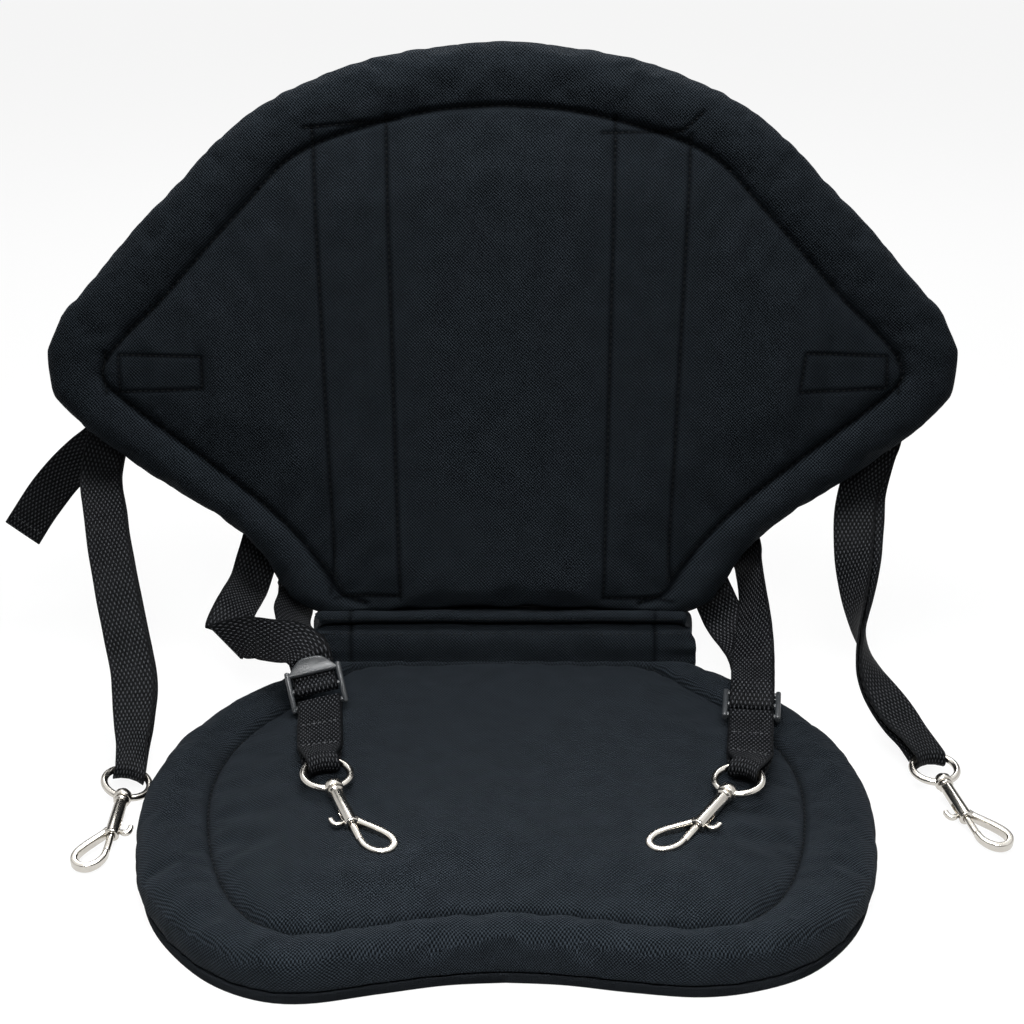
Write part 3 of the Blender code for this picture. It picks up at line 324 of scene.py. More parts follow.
def distance_to(points, line, closed=False):
    """Distance of 2-D points to a polyline, and how far along it the nearest place is."""
    if closed:
        line = np.concatenate([line, line[:1]])
    best = np.full(len(points), 1e9)
    where = np.zeros(len(points))
    done = 0.0
    for start, end in zip(line[:-1], line[1:]):
        leg = end - start
        size = np.linalg.norm(leg)
        share = np.clip(((points - start) @ leg) / size ** 2, 0.0, 1.0)
        gap = np.linalg.norm(points - (start + share[:, None] * leg), axis=1)
        nearer = gap < best
        best[nearer] = gap[nearer]
        where[nearer] = done + share[nearer] * size
        done += size
    return best, where


def ripple(where, longest, shortest, waves, seed):
    """A repeatable uneven wave along a length, between about -1 and 1."""
    source = np.random.default_rng(seed)
    total = np.zeros_like(where)
    for _ in range(waves):
        size = source.uniform(shortest, longest)
        total += np.sin(2 * pi * where / size + source.uniform(0, 2 * pi)) * source.uniform(0.4, 1.0)
    return total / (0.7 * waves)


def places_of(obj):
    rows = np.empty(len(obj.data.vertices) * 3)
    obj.data.vertices.foreach_get("co", rows)
    return rows.reshape(-1, 3)


def set_places(obj, rows):
    obj.data.vertices.foreach_set("co", np.ascontiguousarray(rows, float).ravel())
    obj.data.update()


def pick_nothing():
    for other in bpy.context.selected_objects:
        other.select_set(False)


def pick_only(obj):
    pick_nothing()
    obj.select_set(True)
    bpy.context.view_layer.objects.active = obj


def apply_modifiers(obj):
    pick_only(obj)
    for step in list(obj.modifiers):
        bpy.ops.object.modifier_apply(modifier=step.name)


def finish_piece(obj, material, body, replaced=()):
    obj.data.materials.clear()
    obj.data.materials.append(material)
    if replaced:
        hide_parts(*replaced)
    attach(obj, body)
    return obj


def new_piece(name, points, faces, smooth_angle=60):
    mesh = bpy.data.meshes.new(name)
    mesh.from_pydata([tuple(point) for point in points], [], faces)
    mesh.update()
    mesh.shade_smooth()
    mesh.set_sharp_from_angle(angle=radians(smooth_angle))
    obj = bpy.data.objects.new(name, mesh)
    bpy.context.collection.objects.link(obj)
    return obj


# Webbing and thread finishes: the ribs' pitch and where the selvedge starts, in millimetres

RIB_ACROSS = 1.2
RIB_ALONG = 2.5
SELVEDGE_FROM = 10.9
SELVEDGE_TO = 11.6


def coarse_webbing(name):
    """Heavy polyester webbing: raised ribs of thread in staggered rows, their tops coloured lighter as a
    painted highlight, and a close selvedge.
    """
    finish = bpy.data.materials.new(name)
    tree = nodes_of(finish)
    place = add_node(tree, "ShaderNodeUVMap", uv_map="weave")
    split = add_node(tree, "ShaderNodeSeparateXYZ", {0: place.outputs[0]})
    across = split.outputs[0]
    height = weave_height(tree, across, split.outputs[1], RIB_ACROSS, RIB_ALONG)
    middle = add_node(tree, "ShaderNodeMapRange", {
        "Value": math(tree, "ABSOLUTE", across), "From Min": SELVEDGE_FROM, "From Max": SELVEDGE_TO,
        "To Min": 1.0, "To Max": 0.12})
    # Painted highlight: the raised tops of the ribs are coloured lighter; the ribs also give the real
    # relief.
    spots = math(tree, "POWER", math(tree, "MAXIMUM", height, 0.0), 1.5)
    ribs_and_highlight = math(tree, "MULTIPLY", spots, middle.outputs[0])
    uneven = noise(tree, place.outputs[0], 0.9, 3.0)
    patches = noise(tree, place.outputs[0], 0.05, 3.0)
    level = scaled(tree, ribs_and_highlight, 1.0, -0.22)
    level = math(tree, "ADD", level, math(tree, "MULTIPLY", uneven, 0.35))
    level = math(tree, "ADD", level, math(tree, "MULTIPLY", patches, 0.15), clamp=True)
    colour = mix_colour(tree, level, (0.0006, 0.0008, 0.0011, 1), (0.068, 0.071, 0.078, 1))
    relief = math(tree, "ADD", ribs_and_highlight, math(tree, "MULTIPLY", uneven, 0.7))
    raised = add_node(tree, "ShaderNodeBump", {"Height": relief, "Strength": 0.9, "Distance": 0.0005})
    shader = add_node(tree, "ShaderNodeBsdfPrincipled", {
        "Base Color": colour, "Roughness": 0.55, "Normal": raised.outputs[0], "Specular IOR Level": 0.04})
    add_node(tree, "ShaderNodeOutputMaterial", {"Surface": shader.outputs[0]})
    return finish


def sewing_thread(name, dark, light):
    """Twisted black polyester thread with a faint gloss."""
    finish = bpy.data.materials.new(name)
    tree = nodes_of(finish)
    place = add_node(tree, "ShaderNodeTexCoord")
    settings = {"Vector": place.outputs["Object"], "Scale": 900.0, "Distortion": 3.0, "Detail": 2.0}
    twist = add_node(tree, "ShaderNodeTexWave", settings, bands_direction="DIAGONAL")
    colour = mix_colour(tree, twist.outputs[1], (*dark, 1), (*light, 1))
    raised = add_node(tree, "ShaderNodeBump", {
        "Height": twist.outputs[1], "Strength": 0.6, "Distance": 0.0001})
    shader = add_node(tree, "ShaderNodeBsdfPrincipled", {
        "Base Color": colour, "Roughness": 0.45, "Normal": raised.outputs[0], "Specular IOR Level": 0.08})
    add_node(tree, "ShaderNodeOutputMaterial", {"Surface": shader.outputs[0]})
    return finish


# Stuffed pads

PAD_VOXEL = 3.9 * MM
PRESSURE = 3.5
SHRINK = -0.012


def blow_up(obj, start, pinned):
    """Run the cover as cloth for a moment, its seams and underside held. Gives the new places."""
    held = pinned(start)
    group = obj.vertex_groups.new(name="held")
    for index in np.nonzero(held > 0.02)[0]:
        group.add([int(index)], float(held[index]), "REPLACE")
    cloth = obj.modifiers.new("cover", "CLOTH")
    settings = cloth.settings
    settings.quality = 6
    settings.mass = 0.25
    settings.tension_stiffness = 14
    settings.compression_stiffness = 14
    settings.shear_stiffness = 5
    settings.bending_stiffness = 1.2
    settings.use_pressure = True
    settings.uniform_pressure_force = PRESSURE
    settings.shrink_min = SHRINK
    settings.vertex_group_mass = "held"
    settings.effector_weights.gravity = 0
    cloth.collision_settings.use_collision = False
    for moment in range(1, 21):
        bpy.context.scene.frame_set(moment)
    seen = obj.evaluated_get(bpy.context.evaluated_depsgraph_get())
    rows = np.empty(len(start) * 3)
    seen.data.vertices.foreach_get("co", rows)
    obj.modifiers.clear()
    bpy.context.scene.frame_set(1)
    return rows.reshape(-1, 3)


def stuffed_copy(node, name, pinned, cap):
    """A cloth bag over the solid: remeshed, blown up a little with its seams held, and capped."""
    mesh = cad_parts[node].data.copy()
    obj = bpy.data.objects.new(name, mesh)
    bpy.context.collection.objects.link(obj)
    work = bmesh.new()
    work.from_mesh(mesh)
    bmesh.ops.remove_doubles(work, verts=work.verts, dist=1e-5)
    work.to_mesh(mesh)
    work.free()
    remesh = obj.modifiers.new("even_cloth", "REMESH")
    remesh.mode = "VOXEL"
    remesh.voxel_size = PAD_VOXEL
    apply_modifiers(obj)
    start = places_of(obj)
    step = blow_up(obj, start, pinned) - start
    size = np.linalg.norm(step, axis=1)
    step *= np.minimum(1.0, cap / np.maximum(size, 1e-9))[:, None]
    set_places(obj, start + step)
    finer = obj.modifiers.new("finer", "SUBSURF")
    finer.levels = finer.render_levels = 1
    apply_modifiers(obj)
    obj.data.shade_smooth()
    return obj


def refine_beside(obj, near):
    """Cut the faces where a test holds into four, so that a seam can be narrow."""
    chosen = near(places_of(obj))
    work = bmesh.new()
    work.from_mesh(obj.data)
    work.verts.ensure_lookup_table()
    edges = [edge for edge in work.edges if chosen[edge.verts[0].index] and chosen[edge.verts[1].index]]
    bmesh.ops.subdivide_edges(work, edges=edges, cuts=1, use_grid_fill=True)
    work.to_mesh(obj.data)
    work.free()
    obj.data.shade_smooth()


def paint_crease_shade(obj, flat, lines, width):
    """Painted shade: how deep in a crease each point lies, which the cloth's finish darkens as shade in the
    seams and creases.
    """
    total = np.zeros(len(flat))
    for line, closed in lines:
        gap, _ = distance_to(flat[:, :2], line, closed)
        total = np.maximum(total, np.exp(-(gap / width) ** 2))
    layer = obj.data.attributes.new("crease_shade", "FLOAT", "POINT")
    layer.data.foreach_set("value", total.astype(np.float32))


def near_lines(rows, lines, reach):
    """Which points lie within a reach of any of the lines."""
    close = np.zeros(len(rows), bool)
    for line, closed in lines:
        gap, _ = distance_to(rows[:, :2], line, closed)
        close |= gap < reach
    return close


def map_weave(obj, flat, facing):
    """The weave map: flat gives two plane coordinates and a height, facing how square to the plane."""
    mesh = obj.data
    corner = np.empty(len(mesh.loops), int)
    mesh.loops.foreach_get("vertex_index", corner)
    rows = flat(places_of(obj))
    normals = np.empty(len(mesh.polygons) * 3)
    mesh.polygons.foreach_get("normal", normals)
    sizes = np.empty(len(mesh.polygons), int)
    mesh.polygons.foreach_get("loop_total", sizes)
    square = np.repeat(np.abs(facing(normals.reshape(-1, 3))), sizes)
    around = 0.2 * np.arctan2(rows[:, 1] - rows[:, 1].mean(), rows[:, 0])
    front = rows[corner][:, :2]
    side = np.stack([around[corner], rows[corner][:, 2]], axis=1)
    chosen = np.where(square[:, None] > 0.45, front, side) / MM
    layer = mesh.uv_layers.new(name="weave")
    layer.data.foreach_set("uv", chosen.astype(np.float32).ravel())


# Half outlines as in the solids, in millimetres: the edge, then the seam beside it
SEAT_OUTLINE = [
    ((0, 146), (0, 140)), ((106, 146), (78, 140)), ((122, 142), (92, 136)), ((143, 119), (108, 115)),
    ((165, 95), (126, 91)), ((182, 66), (144, 64)), ((193, 35), (155, 37)), ((197, 0), (160, 2)),
    ((195.5, -40), (157, -38)), ((188, -80), (150, -72)), ((174, -111), (139, -101)),
    ((151, -137), (122, -123)), ((123, -151), (104, -131)), ((94, -156), (84, -132)),
    ((60, -152), (54, -127)), ((28, -146), (26, -121)), ((0, -144), (0, -119))]
BACK_OUTLINE = [
    ((0, -7), (0, -2)), ((104, -7), (82, -2)), ((117, -2), (94, 4)), ((129, 14), (105, 20)),
    ((164, 45), (138, 54)), ((206, 71), (184, 90)), ((243, 98), (222, 118)), ((265, 117), (237, 132)),
    ((272, 140), (235, 143)), ((265, 166), (220, 161)), ((249, 185), (204, 176)),
    ((212, 227), (171, 213)), ((189, 251), (149, 237)), ((166, 274), (128, 259)),
    ((136, 297), (106, 271)), ((100, 313), (79, 280)), ((50, 326), (40, 289)), ((0, 330), (0, 292))]


def half_line(outline, which):
    """The edge (0) or the seam (1) of a half outline."""
    return [pair[which] for pair in outline]


def both_halves(half, steps):
    """The full line from one half that ends on the middle, mirrored about it."""
    rows = evenly(smooth(half), steps, measure=2) * MM
    return np.concatenate([rows, rows[-2::-1] * np.array([-1, 1])])


BACK_SEAM = both_halves(half_line(BACK_OUTLINE, 1)[1:], 90)
SEAT_SEAM = both_halves(half_line(SEAT_OUTLINE, 1), 90)[:-1]


def sleeve_line(side, top_u, foot_u, top_v, foot_v):
    """One stitched side of a batten's sleeve, slightly bowed, as (u, v) rows in metres."""
    share = np.linspace(0, 1, 40)
    u = top_u + (foot_u - top_u) * share
    return np.stack([side * u, top_v + (foot_v - top_v) * share], axis=1) * MM


SLEEVES = [sleeve_line(-1, 111, 99, 279, 6), sleeve_line(-1, 68, 61, 286, 1),
           sleeve_line(1, 66, 60, 286, 1), sleeve_line(1, 110, 98, 275, 12)]


def box_line(side):
    """The sewn box over each wing tab."""
    inner, outer, low, high = 177, 227, 126, 147
    if side < 0:
        corners = [(inner, low + 1), (outer - 1, low - 1), (outer, high), (inner, high - 1),
                   (inner, low + 1)]
    else:
        corners = [(inner - 2, low - 1), (outer, low + 1), (outer, high - 1), (inner + 1, high + 1),
                   (inner - 2, low - 1)]
    rows = np.array(corners, float) * np.array([side, 1]) * MM
    return evenly(rows, 60, measure=2)


BOXES = [box_line(-1), box_line(1)]
# Short lines sewn across the tops and feet of the sleeves, as (u, v) in millimetres
BAR_TACKS = [np.array(tack) * MM for tack in (
    [(-116, 279), (-60, 284)], [(58, 276), (105, 277), (117, 288)],
    [(-97, 3), (-61, 3)], [(60, 2), (98, 1)])]
WING_ARCS = [np.array(arc) * MM for arc in (
    [(-234, 124), (-237, 135), (-235, 148)], [(234, 124), (236, 135), (234, 147)])]


# How far the backrest's lower corners stand out and down
FOOT_PUSH = (8 * MM, 4 * MM)

# Hollows of the backrest's front and of the seat's top: middle, size and depth in millimetres
BACK_DENTS = [((0, 150), (60, 110), -1.2), ((-165, 190), (40, 22), 1.0), ((165, 190), (40, 22), 1.0),
              ((-172, 95), (38, 18), 0.8), ((172, 95), (38, 18), 0.8), ((205, 137), (45, 26), 0.8),
              ((-205, 137), (45, 26), 0.8), ((95, 225), (25, 60), 0.6), ((-95, 225), (25, 60), 0.6)]
SEAT_DENTS = [((-150, -124), (9, 12), 1.8), ((-128, -138), (6, 14), 3.0), ((-105, -146), (7, 12), 1.8),
              ((-140, -112), (6, 10), 1.2), ((-118, -124), (6, 8), -1.4), ((-15, -132), (10, 7), 1.2),
              ((60, -138), (20, 6), 0.6), ((-60, -139), (18, 6), 0.6), ((0, 10), (90, 70), -0.8)]

# How far the seat lies to one side, and where its front edge hangs out furthest, how widely and how far
SEAT_SHIFT = 2.6 * MM
SEAT_CORNER = ((-118, -150), (42, 40), 7.0)


def sew(rows, line, depth, width, pucker=0.0, seed=1, closed=False, upper=1.0):
    """Sink a seam into heights (third column) and gather the cloth beside it."""
    gap, where = distance_to(rows[:, :2], line, closed)
    lift = -depth * np.exp(-(gap / width) ** 2)
    beside = np.exp(-((gap - 2.2 * width) / (2.6 * width)) ** 2)
    lift += pucker * beside * ripple(where, 30 * MM, 9 * MM, 5, seed)
    rows[:, 2] += lift * upper


def dent(rows, middle, size, depth, upper):
    """A soft hollow, or a swelling where depth is below nought."""
    away = (rows[:, :2] - np.array(middle) * MM) / (np.array(size) * MM)
    rows[:, 2] -= depth * MM * np.exp(-np.sum(away ** 2, axis=1)) * upper


def shape_back(rows):
    """Seams, stitched lines and hollows of the backrest's front, and its two lower corners."""
    upper = np.clip((rows[:, 2] - 1 * MM) / (6 * MM), 0, 1)
    sew(rows, BACK_SEAM, 3.2 * MM, 2.2 * MM, 0.35 * MM, 3, upper=upper)
    for index, line in enumerate(SLEEVES):
        sew(rows, line, 1.3 * MM, 1.4 * MM, 0.14 * MM, 11 + index, upper=upper)
    for line in BOXES + WING_ARCS:
        sew(rows, line, 1.1 * MM, 1.4 * MM, 0.16 * MM, 21, upper=upper)
    for line in BAR_TACKS:
        sew(rows, line, 1.1 * MM, 1.4 * MM, 0.16 * MM, 23, upper=upper)
    for middle, size, depth in BACK_DENTS:
        dent(rows, middle, size, depth, upper)
    foot = np.clip((14 * MM - rows[:, 1]) / (16 * MM), 0, 1) * (np.abs(rows[:, 0]) < 108 * MM)
    rows[:, 2] -= 1.5 * MM * foot * upper
    outer = np.clip((np.abs(rows[:, 0]) - 84 * MM) / (32 * MM), 0, 1)
    lowest = np.exp(-((rows[:, 1] - 2 * MM) / (20 * MM)) ** 2)
    corner = outer * lowest * np.clip((rows[:, 2] + 7 * MM) / (8 * MM), 0, 1)
    rows[:, 0] += np.sign(rows[:, 0]) * FOOT_PUSH[0] * corner
    rows[:, 1] -= FOOT_PUSH[1] * corner
    return rows


def skew_seat(rows):
    """The seat lies slightly to one side, and its front corner is pushed out."""
    moved = rows.copy()
    moved[:, 0] += SEAT_SHIFT * np.clip((150 * MM - rows[:, 1]) / (60 * MM), 0, 1)
    middle, size, push = SEAT_CORNER
    away = (rows[:, :2] / MM - np.array(middle)) / np.array(size)
    moved[:, 1] -= push * MM * np.exp(-np.sum(away ** 2, axis=1))
    return moved


def shape_seat(rows):
    """The seam and hollows of the seat's top, and the seat's lie."""
    upper = np.clip((rows[:, 2] - 16 * MM) / (6 * MM), 0, 1)
    sew(rows, SEAT_SEAM, 3.0 * MM, 2.2 * MM, 0.65 * MM, 5, closed=True, upper=upper)
    for middle, size, depth in SEAT_DENTS:
        dent(rows, middle, size, depth, upper)
    return skew_seat(rows)


def seam_hold(rows, seam, front, rear, closed):
    """How firmly each point is held: fully at the seam in front and behind the pad."""
    gap, _ = distance_to(rows[:, :2], seam, closed)
    keep = np.where(rows[:, 2] > front, np.exp(-(gap / (3.5 * MM)) ** 2), 0.0)
    keep[rows[:, 2] < rear] = 1.0
    return np.clip(keep, 0, 1)


def make_backrest():
    def held(places):
        return seam_hold(rows_on_back(places), BACK_SEAM, 0.0, -9 * MM, False)

    pad = stuffed_copy("backrest_pad", "backrest_cover", held, 5 * MM)
    lines = [(line, False) for line in [BACK_SEAM] + SLEEVES + BOXES + WING_ARCS + BAR_TACKS]

    def beside(places):
        rows = rows_on_back(places)
        return near_lines(rows, lines, 5.5 * MM) & (rows[:, 2] > 0)

    refine_beside(pad, beside)
    paint_crease_shade(pad, rows_on_back(places_of(pad)), lines, 1.5 * MM)
    set_places(pad, back_rows(shape_back(rows_on_back(places_of(pad)))))
    map_weave(pad, rows_on_back, lambda normals: normals @ np.array(BACK_OUT))
    finish_piece(pad, COVER_CLOTH, "seat", ("backrest_pad",))
    return pad


def make_seat():
    def held(places):
        return seam_hold(places, SEAT_SEAM, 16 * MM, 9 * MM, True)

    pad = stuffed_copy("seat_pad", "seat_cover", held, 5 * MM)
    lines = [(SEAT_SEAM, True)]
    refine_beside(pad, lambda places: near_lines(places, lines, 6 * MM) & (places[:, 2] > 15 * MM))
    paint_crease_shade(pad, places_of(pad), lines, 1.6 * MM)
    set_places(pad, shape_seat(places_of(pad)))
    map_weave(pad, lambda places: places, lambda normals: normals[:, 2])
    finish_piece(pad, COVER_CLOTH, "seat", ("seat_pad",))
    return pad


# Lofted cloth pieces

def loft(name, rings, closed_ends=True, weave=None, smooth_angle=60):
    """A skin over rings of equally many points; weave gives each point's map place in millimetres."""
    count, size = rings.shape[:2]
    points = rings.reshape(-1, 3)
    faces = []
    for level in range(count - 1):
        low = level * size
        for side in range(size):
            after = (side + 1) % size
            faces.append((low + side, low + after, low + size + after, low + size + side))
    if closed_ends:
        faces.append(tuple(range(size)))
        faces.append(tuple((count - 1) * size + side for side in range(size)))
    obj = new_piece(name, points, faces, smooth_angle)
    work = bmesh.new()
    work.from_mesh(obj.data)
    bmesh.ops.recalc_face_normals(work, faces=work.faces)
    if weave is not None:
        flat = weave.reshape(-1, 2)
        layer = work.loops.layers.uv.new("weave")
        span = flat[size - 1][0] - flat[0][0] + (flat[1][0] - flat[0][0])
        for face in work.faces:
            columns = [corner.vert.index % size for corner in face.loops]
            wraps = len(face.verts) == 4 and 0 in columns and size - 1 in columns
            for corner, column in zip(face.loops, columns):
                place = flat[corner.vert.index]
                corner[layer].uv = (place[0] + (span if wraps and column == 0 else 0.0), place[1])
    work.to_mesh(obj.data)
    work.free()
    return obj


NECK_HALF = 116 * MM
NECK_CREASE = 91       # how far out the crease across each end lies, in millimetres
# The fold's section from its lower front, up over the two rolls with the valley between, and down
NECK_SECTION = [
    (147.0, 8), (147.2, 20), (147.3, 28), (147.1, 33), (147.3, 37.5), (148.4, 42), (151.2, 45),
    (155.2, 46.2), (159.2, 47.4), (156.0, 48.9), (152.4, 50.9), (150.8, 53.6), (152.0, 56.2),
    (155.5, 56.8), (162.0, 54.2), (172.0, 51.3), (181.5, 48.2), (184.5, 40), (183.5, 25),
    (176, 8), (164, 0.6), (152, 2.0)]


def make_neck():
    """The sewn fold between the pads: two soft rolls and a deep valley, gathered at both ends."""
    section = evenly(smooth(NECK_SECTION + NECK_SECTION[:1]), 88, measure=2)[:-1] * MM
    middle = section.mean(axis=0)
    spoke = section - middle
    angle = np.arctan2(spoke[:, 1], spoke[:, 0])
    legs = np.concatenate([[0.0], np.cumsum(np.linalg.norm(np.diff(section, axis=0), axis=1))])
    rings, weave = [], []
    for x in np.linspace(-NECK_HALF, NECK_HALF, 233):
        away = NECK_HALF - abs(x)
        share = 1 - 0.12 * np.exp(-(away / (5 * MM)) ** 2)
        pleat = 1.3 * MM * np.exp(-away / (15 * MM)) * np.sin(angle * 11 + (1.0 if x < 0 else 2.2))
        pleat = pleat - 1.1 * MM * np.exp(-((abs(x) - NECK_CREASE * MM) / (1.5 * MM)) ** 2)
        slow = 0.35 * MM * np.sin(x / (17 * MM) + 2 * angle) + 0.25 * MM * np.sin(x / (7.3 * MM) - 3 * angle)
        length = np.linalg.norm(spoke, axis=1)
        rows = middle + spoke * (share + ((pleat + slow) / length)[:, None])
        waist = 7 * MM * np.exp(-away / (9 * MM)) * np.exp(-((rows[:, 1] - 49 * MM) / (6 * MM)) ** 2)
        rings.append(np.column_stack([x - np.sign(x) * waist, rows]))
        weave.append(np.column_stack([legs, np.full(len(rows), x)]) / MM)
    rings = np.array(rings)
    low = rings[:, :, 2] < 0.3 * MM
    rings[:, :, 2][low] = 0.3 * MM
    neck = loft("neck_rolls", rings, weave=np.array(weave))
    creases = [np.array([(side * NECK_CREASE, 140), (side * NECK_CREASE, 190)]) * MM for side in (-1, 1)]
    paint_crease_shade(neck, places_of(neck), [(line, False) for line in creases], 1.4 * MM)
    finish_piece(neck, COVER_CLOTH, "seat", ("neck_fold",))
    return neck


def inset_line(line, inset):
    """A closed line moved inwards along its own normals."""
    ahead = np.roll(line, -1, axis=0) - np.roll(line, 1, axis=0)
    ahead /= np.linalg.norm(ahead, axis=1)[:, None]
    inward = np.stack([-ahead[:, 1], ahead[:, 0]], axis=1)
    if np.sum((line.mean(axis=0) - line) * inward) < 0:
        inward = -inward
    return line + inward * inset


def toward_middle(line, distance):
    """A line moved straight to its middle, which keeps it from crossing itself at tight corners."""
    away = line.mean(axis=0) - line
    return line + away / np.linalg.norm(away, axis=1)[:, None] * distance


def cut_panel(name, outline, low, thick, inset, place, band, bend=None):
    """A flat panel with a bound edge: a band of tape folded round it, then the sheet inside."""
    edge = both_halves(half_line(outline, 0), 110)[:-1]
    soft = 0.9 * MM
    step = 0.45 * MM
    sheet = [(soft + band + 14 * MM, step), (band + 1.2 * MM, step)]
    tape = [(band, 0.0), (soft, 0.0), (0.3 * soft, 0.35 * soft), (0.0, soft)]
    lower = sheet + tape
    levels = lower + [(inward, thick - height) for inward, height in reversed(lower)]
    along = np.cumsum(np.concatenate([[0.0], np.linalg.norm(np.diff(edge, axis=0), axis=1)]))
    rings, weave = [], []
    for index, (inward, height) in enumerate(levels):
        line = toward_middle(inset_line(edge, inset + min(inward, band)), max(inward - band, 0.0))
        rows = np.column_stack([line, np.full(len(line), low + height)])
        if bend is not None:
            rows = bend(rows)
        rings.append(place(rows))
        on_tape = np.column_stack([along, np.full(len(line), index * 2.0)])
        weave.append((line if inward >= band else on_tape) / MM)
    return loft(name, np.array(rings), weave=np.array(weave), smooth_angle=45)


def make_base():
    base = cut_panel("seat_base_sheet", SEAT_OUTLINE, low=0.0, thick=5.0 * MM, inset=2.5 * MM,
                     place=lambda rows: rows, band=8 * MM, bend=skew_seat)
    finish_piece(base, BASE_CLOTH, "seat", ("seat_base",))
    return base


def make_rear_panel():
    panel = cut_panel("backrest_rear_sheet", BACK_OUTLINE, low=PANEL_REAR, thick=3.0 * MM, inset=3.0 * MM,
                      place=back_rows, band=9 * MM)
    finish_piece(panel, BASE_CLOTH, "seat", ("backrest_rear_panel",))
    return panel


BATTEN_WIDTH = 34 * MM
POCKET_LOW = 2 * MM
POCKET_HIGH = 279 * MM


def pocket_middle(v):
    """How far out the middle of a pocket is at a height, as both lean outwards going up."""
    return 79.5 * MM + 9.5 * MM * (v - POCKET_LOW) / (POCKET_HIGH - POCKET_LOW)


def make_pocket(side, key):
    """A strip of cloth sewn down both sides over the batten, with a turned hem at its open top."""
    inner = BATTEN_WIDTH / 2 + TOUCH
    depth = 3.4 * MM
    wall = 1.2 * MM
    hem = 4.0 * MM
    outer = inner + 1.5 * wall + hem
    top = [(-outer, wall), (-inner - 1.5 * wall, wall), (-inner - 0.3 * wall, depth * 0.6 + wall),
           (-inner + 1.5 * wall, depth + wall), (0.0, depth + 1.15 * wall),
           (inner - 1.5 * wall, depth + wall), (inner + 0.3 * wall, depth * 0.6 + wall),
           (inner + 1.5 * wall, wall), (outer, wall)]
    low = [(outer, 0.1 * MM), (inner + 0.6 * wall, 0.1 * MM), (inner - 0.3 * wall, depth * 0.5),
           (inner - 2.0 * wall, depth), (-inner + 2.0 * wall, depth), (-inner + 0.3 * wall, depth * 0.5),
           (-inner - 0.6 * wall, 0.1 * MM), (-outer, 0.1 * MM)]
    section = evenly(smooth(top, per_span=5), 44, measure=2)
    section = np.concatenate([section, evenly(smooth(low, per_span=5), 36, measure=2)])
    back = PANEL_REAR - TOUCH
    rings, weave = [], []
    for v in np.linspace(POCKET_LOW, POCKET_HIGH, 90):
        near_top = np.exp(-((POCKET_HIGH - v) / (5 * MM)) ** 4)
        raised = np.clip(section[:, 1] / depth, 0, 1)
        slack = 0.25 * MM * np.sin(v / (9 * MM) + side) * np.cos(section[:, 0] / (11 * MM))
        lift = (slack + 0.5 * MM * near_top) * raised
        rows = np.column_stack([side * pocket_middle(v) + section[:, 0], np.full(len(section), v),
                                back - section[:, 1] - lift])
        rings.append(back_rows(rows))
        weave.append(np.column_stack([section[:, 0], np.full(len(section), v)]) / MM)
    pocket = loft(f"batten_sleeve_{key}", np.array(rings), weave=np.array(weave), smooth_angle=50)
    finish_piece(pocket, BASE_CLOTH, "seat", (f"batten_pocket_{key}",))
    return pocket


# Webbing: its routes are those of the solids, in millimetres where they are typed

WEB_WIDTH = 25 * MM
WEB_THICK = 1.6 * MM
WEB_PINCHED = 17.4 * MM
LAYER_STEP = WEB_THICK + 0.5 * MM
BUCKLE_INSIDE = WEB_WIDTH + 1.6 * MM
BUCKLE_RAIL = 3.0 * MM
BUCKLE_THICK = 4.4 * MM
BUCKLE_PITCH = 9.5 * MM
BUCKLE_BAR = 3.4 * MM
BUCKLE_TAB = 6.5 * MM
BAR_WRAP = BUCKLE_BAR / 2 + TOUCH + WEB_THICK / 2
SNAP_WIRE = 4.0 * MM
EYE_HALF = 12.6 * MM
EYE_LONG = 24.6 * MM
EYE_SAG = 3.2 * MM
EYE_WRAP = SNAP_WIRE / 2 + TOUCH + WEB_THICK / 2 + EYE_SAG / 2
NO_CUP = (0.0, 0.0, 0.0)


def frame_matrix(origin, along_x, up_hint):
    """World matrix with X along a direction and Z as near as possible to a hint."""
    x = Vector(along_x).normalized()
    z = Vector(up_hint)
    z = (z - x * z.dot(x)).normalized()
    turn = Matrix((x, z.cross(x), z)).transposed().to_4x4()
    return Matrix.Translation(Vector(origin)) @ turn


def station(point, across, width=WEB_WIDTH, free=0.0, cup=NO_CUP):
    """One place on a strap: free lets its direction across be slanted, cup is how its edges bend."""
    return [*point, *Vector(across).normalized(), width, free, *cup]


def turn_about(centre, start, radius, axis, angle, steps, across, width, cup=NO_CUP):
    out = []
    for step in range(steps + 1):
        spoke = Matrix.Rotation(angle * step / steps, 3, axis) @ start
        out.append(station(centre + spoke * radius, across, width, 1.0, cup))
    return out


def run_of(stations, step):
    """Evenly spaced places on a smooth curve through the stations, each with its own axes."""
    rows = np.array(stations, float)
    rows = smooth(rows, per_span=12)
    legs = np.linalg.norm(np.diff(rows[:, :3], axis=0), axis=1)
    rows = rows[np.concatenate([[True], legs > 1e-7])]
    rows = evenly(rows, max(int(np.linalg.norm(np.diff(rows[:, :3], axis=0), axis=1).sum() / step), 8))
    ahead = np.gradient(rows[:, :3], axis=0)
    ahead /= np.linalg.norm(ahead, axis=1)[:, None]
    across = rows[:, 3:6] / np.linalg.norm(rows[:, 3:6], axis=1)[:, None]
    lean = np.sum(across * ahead, axis=1) * (1 - np.clip(rows[:, 7], 0, 1))
    across = across - ahead * lean[:, None]
    across /= np.linalg.norm(across, axis=1)[:, None]
    out = np.cross(across, ahead)
    out /= np.linalg.norm(out, axis=1)[:, None]
    along = np.concatenate([[0.0], np.cumsum(np.linalg.norm(np.diff(rows[:, :3], axis=0), axis=1))])
    return {"point": rows[:, :3], "across": across, "out": out, "width": rows[:, 6], "cup": rows[:, 8:11],
            "along": along, "ahead": ahead}


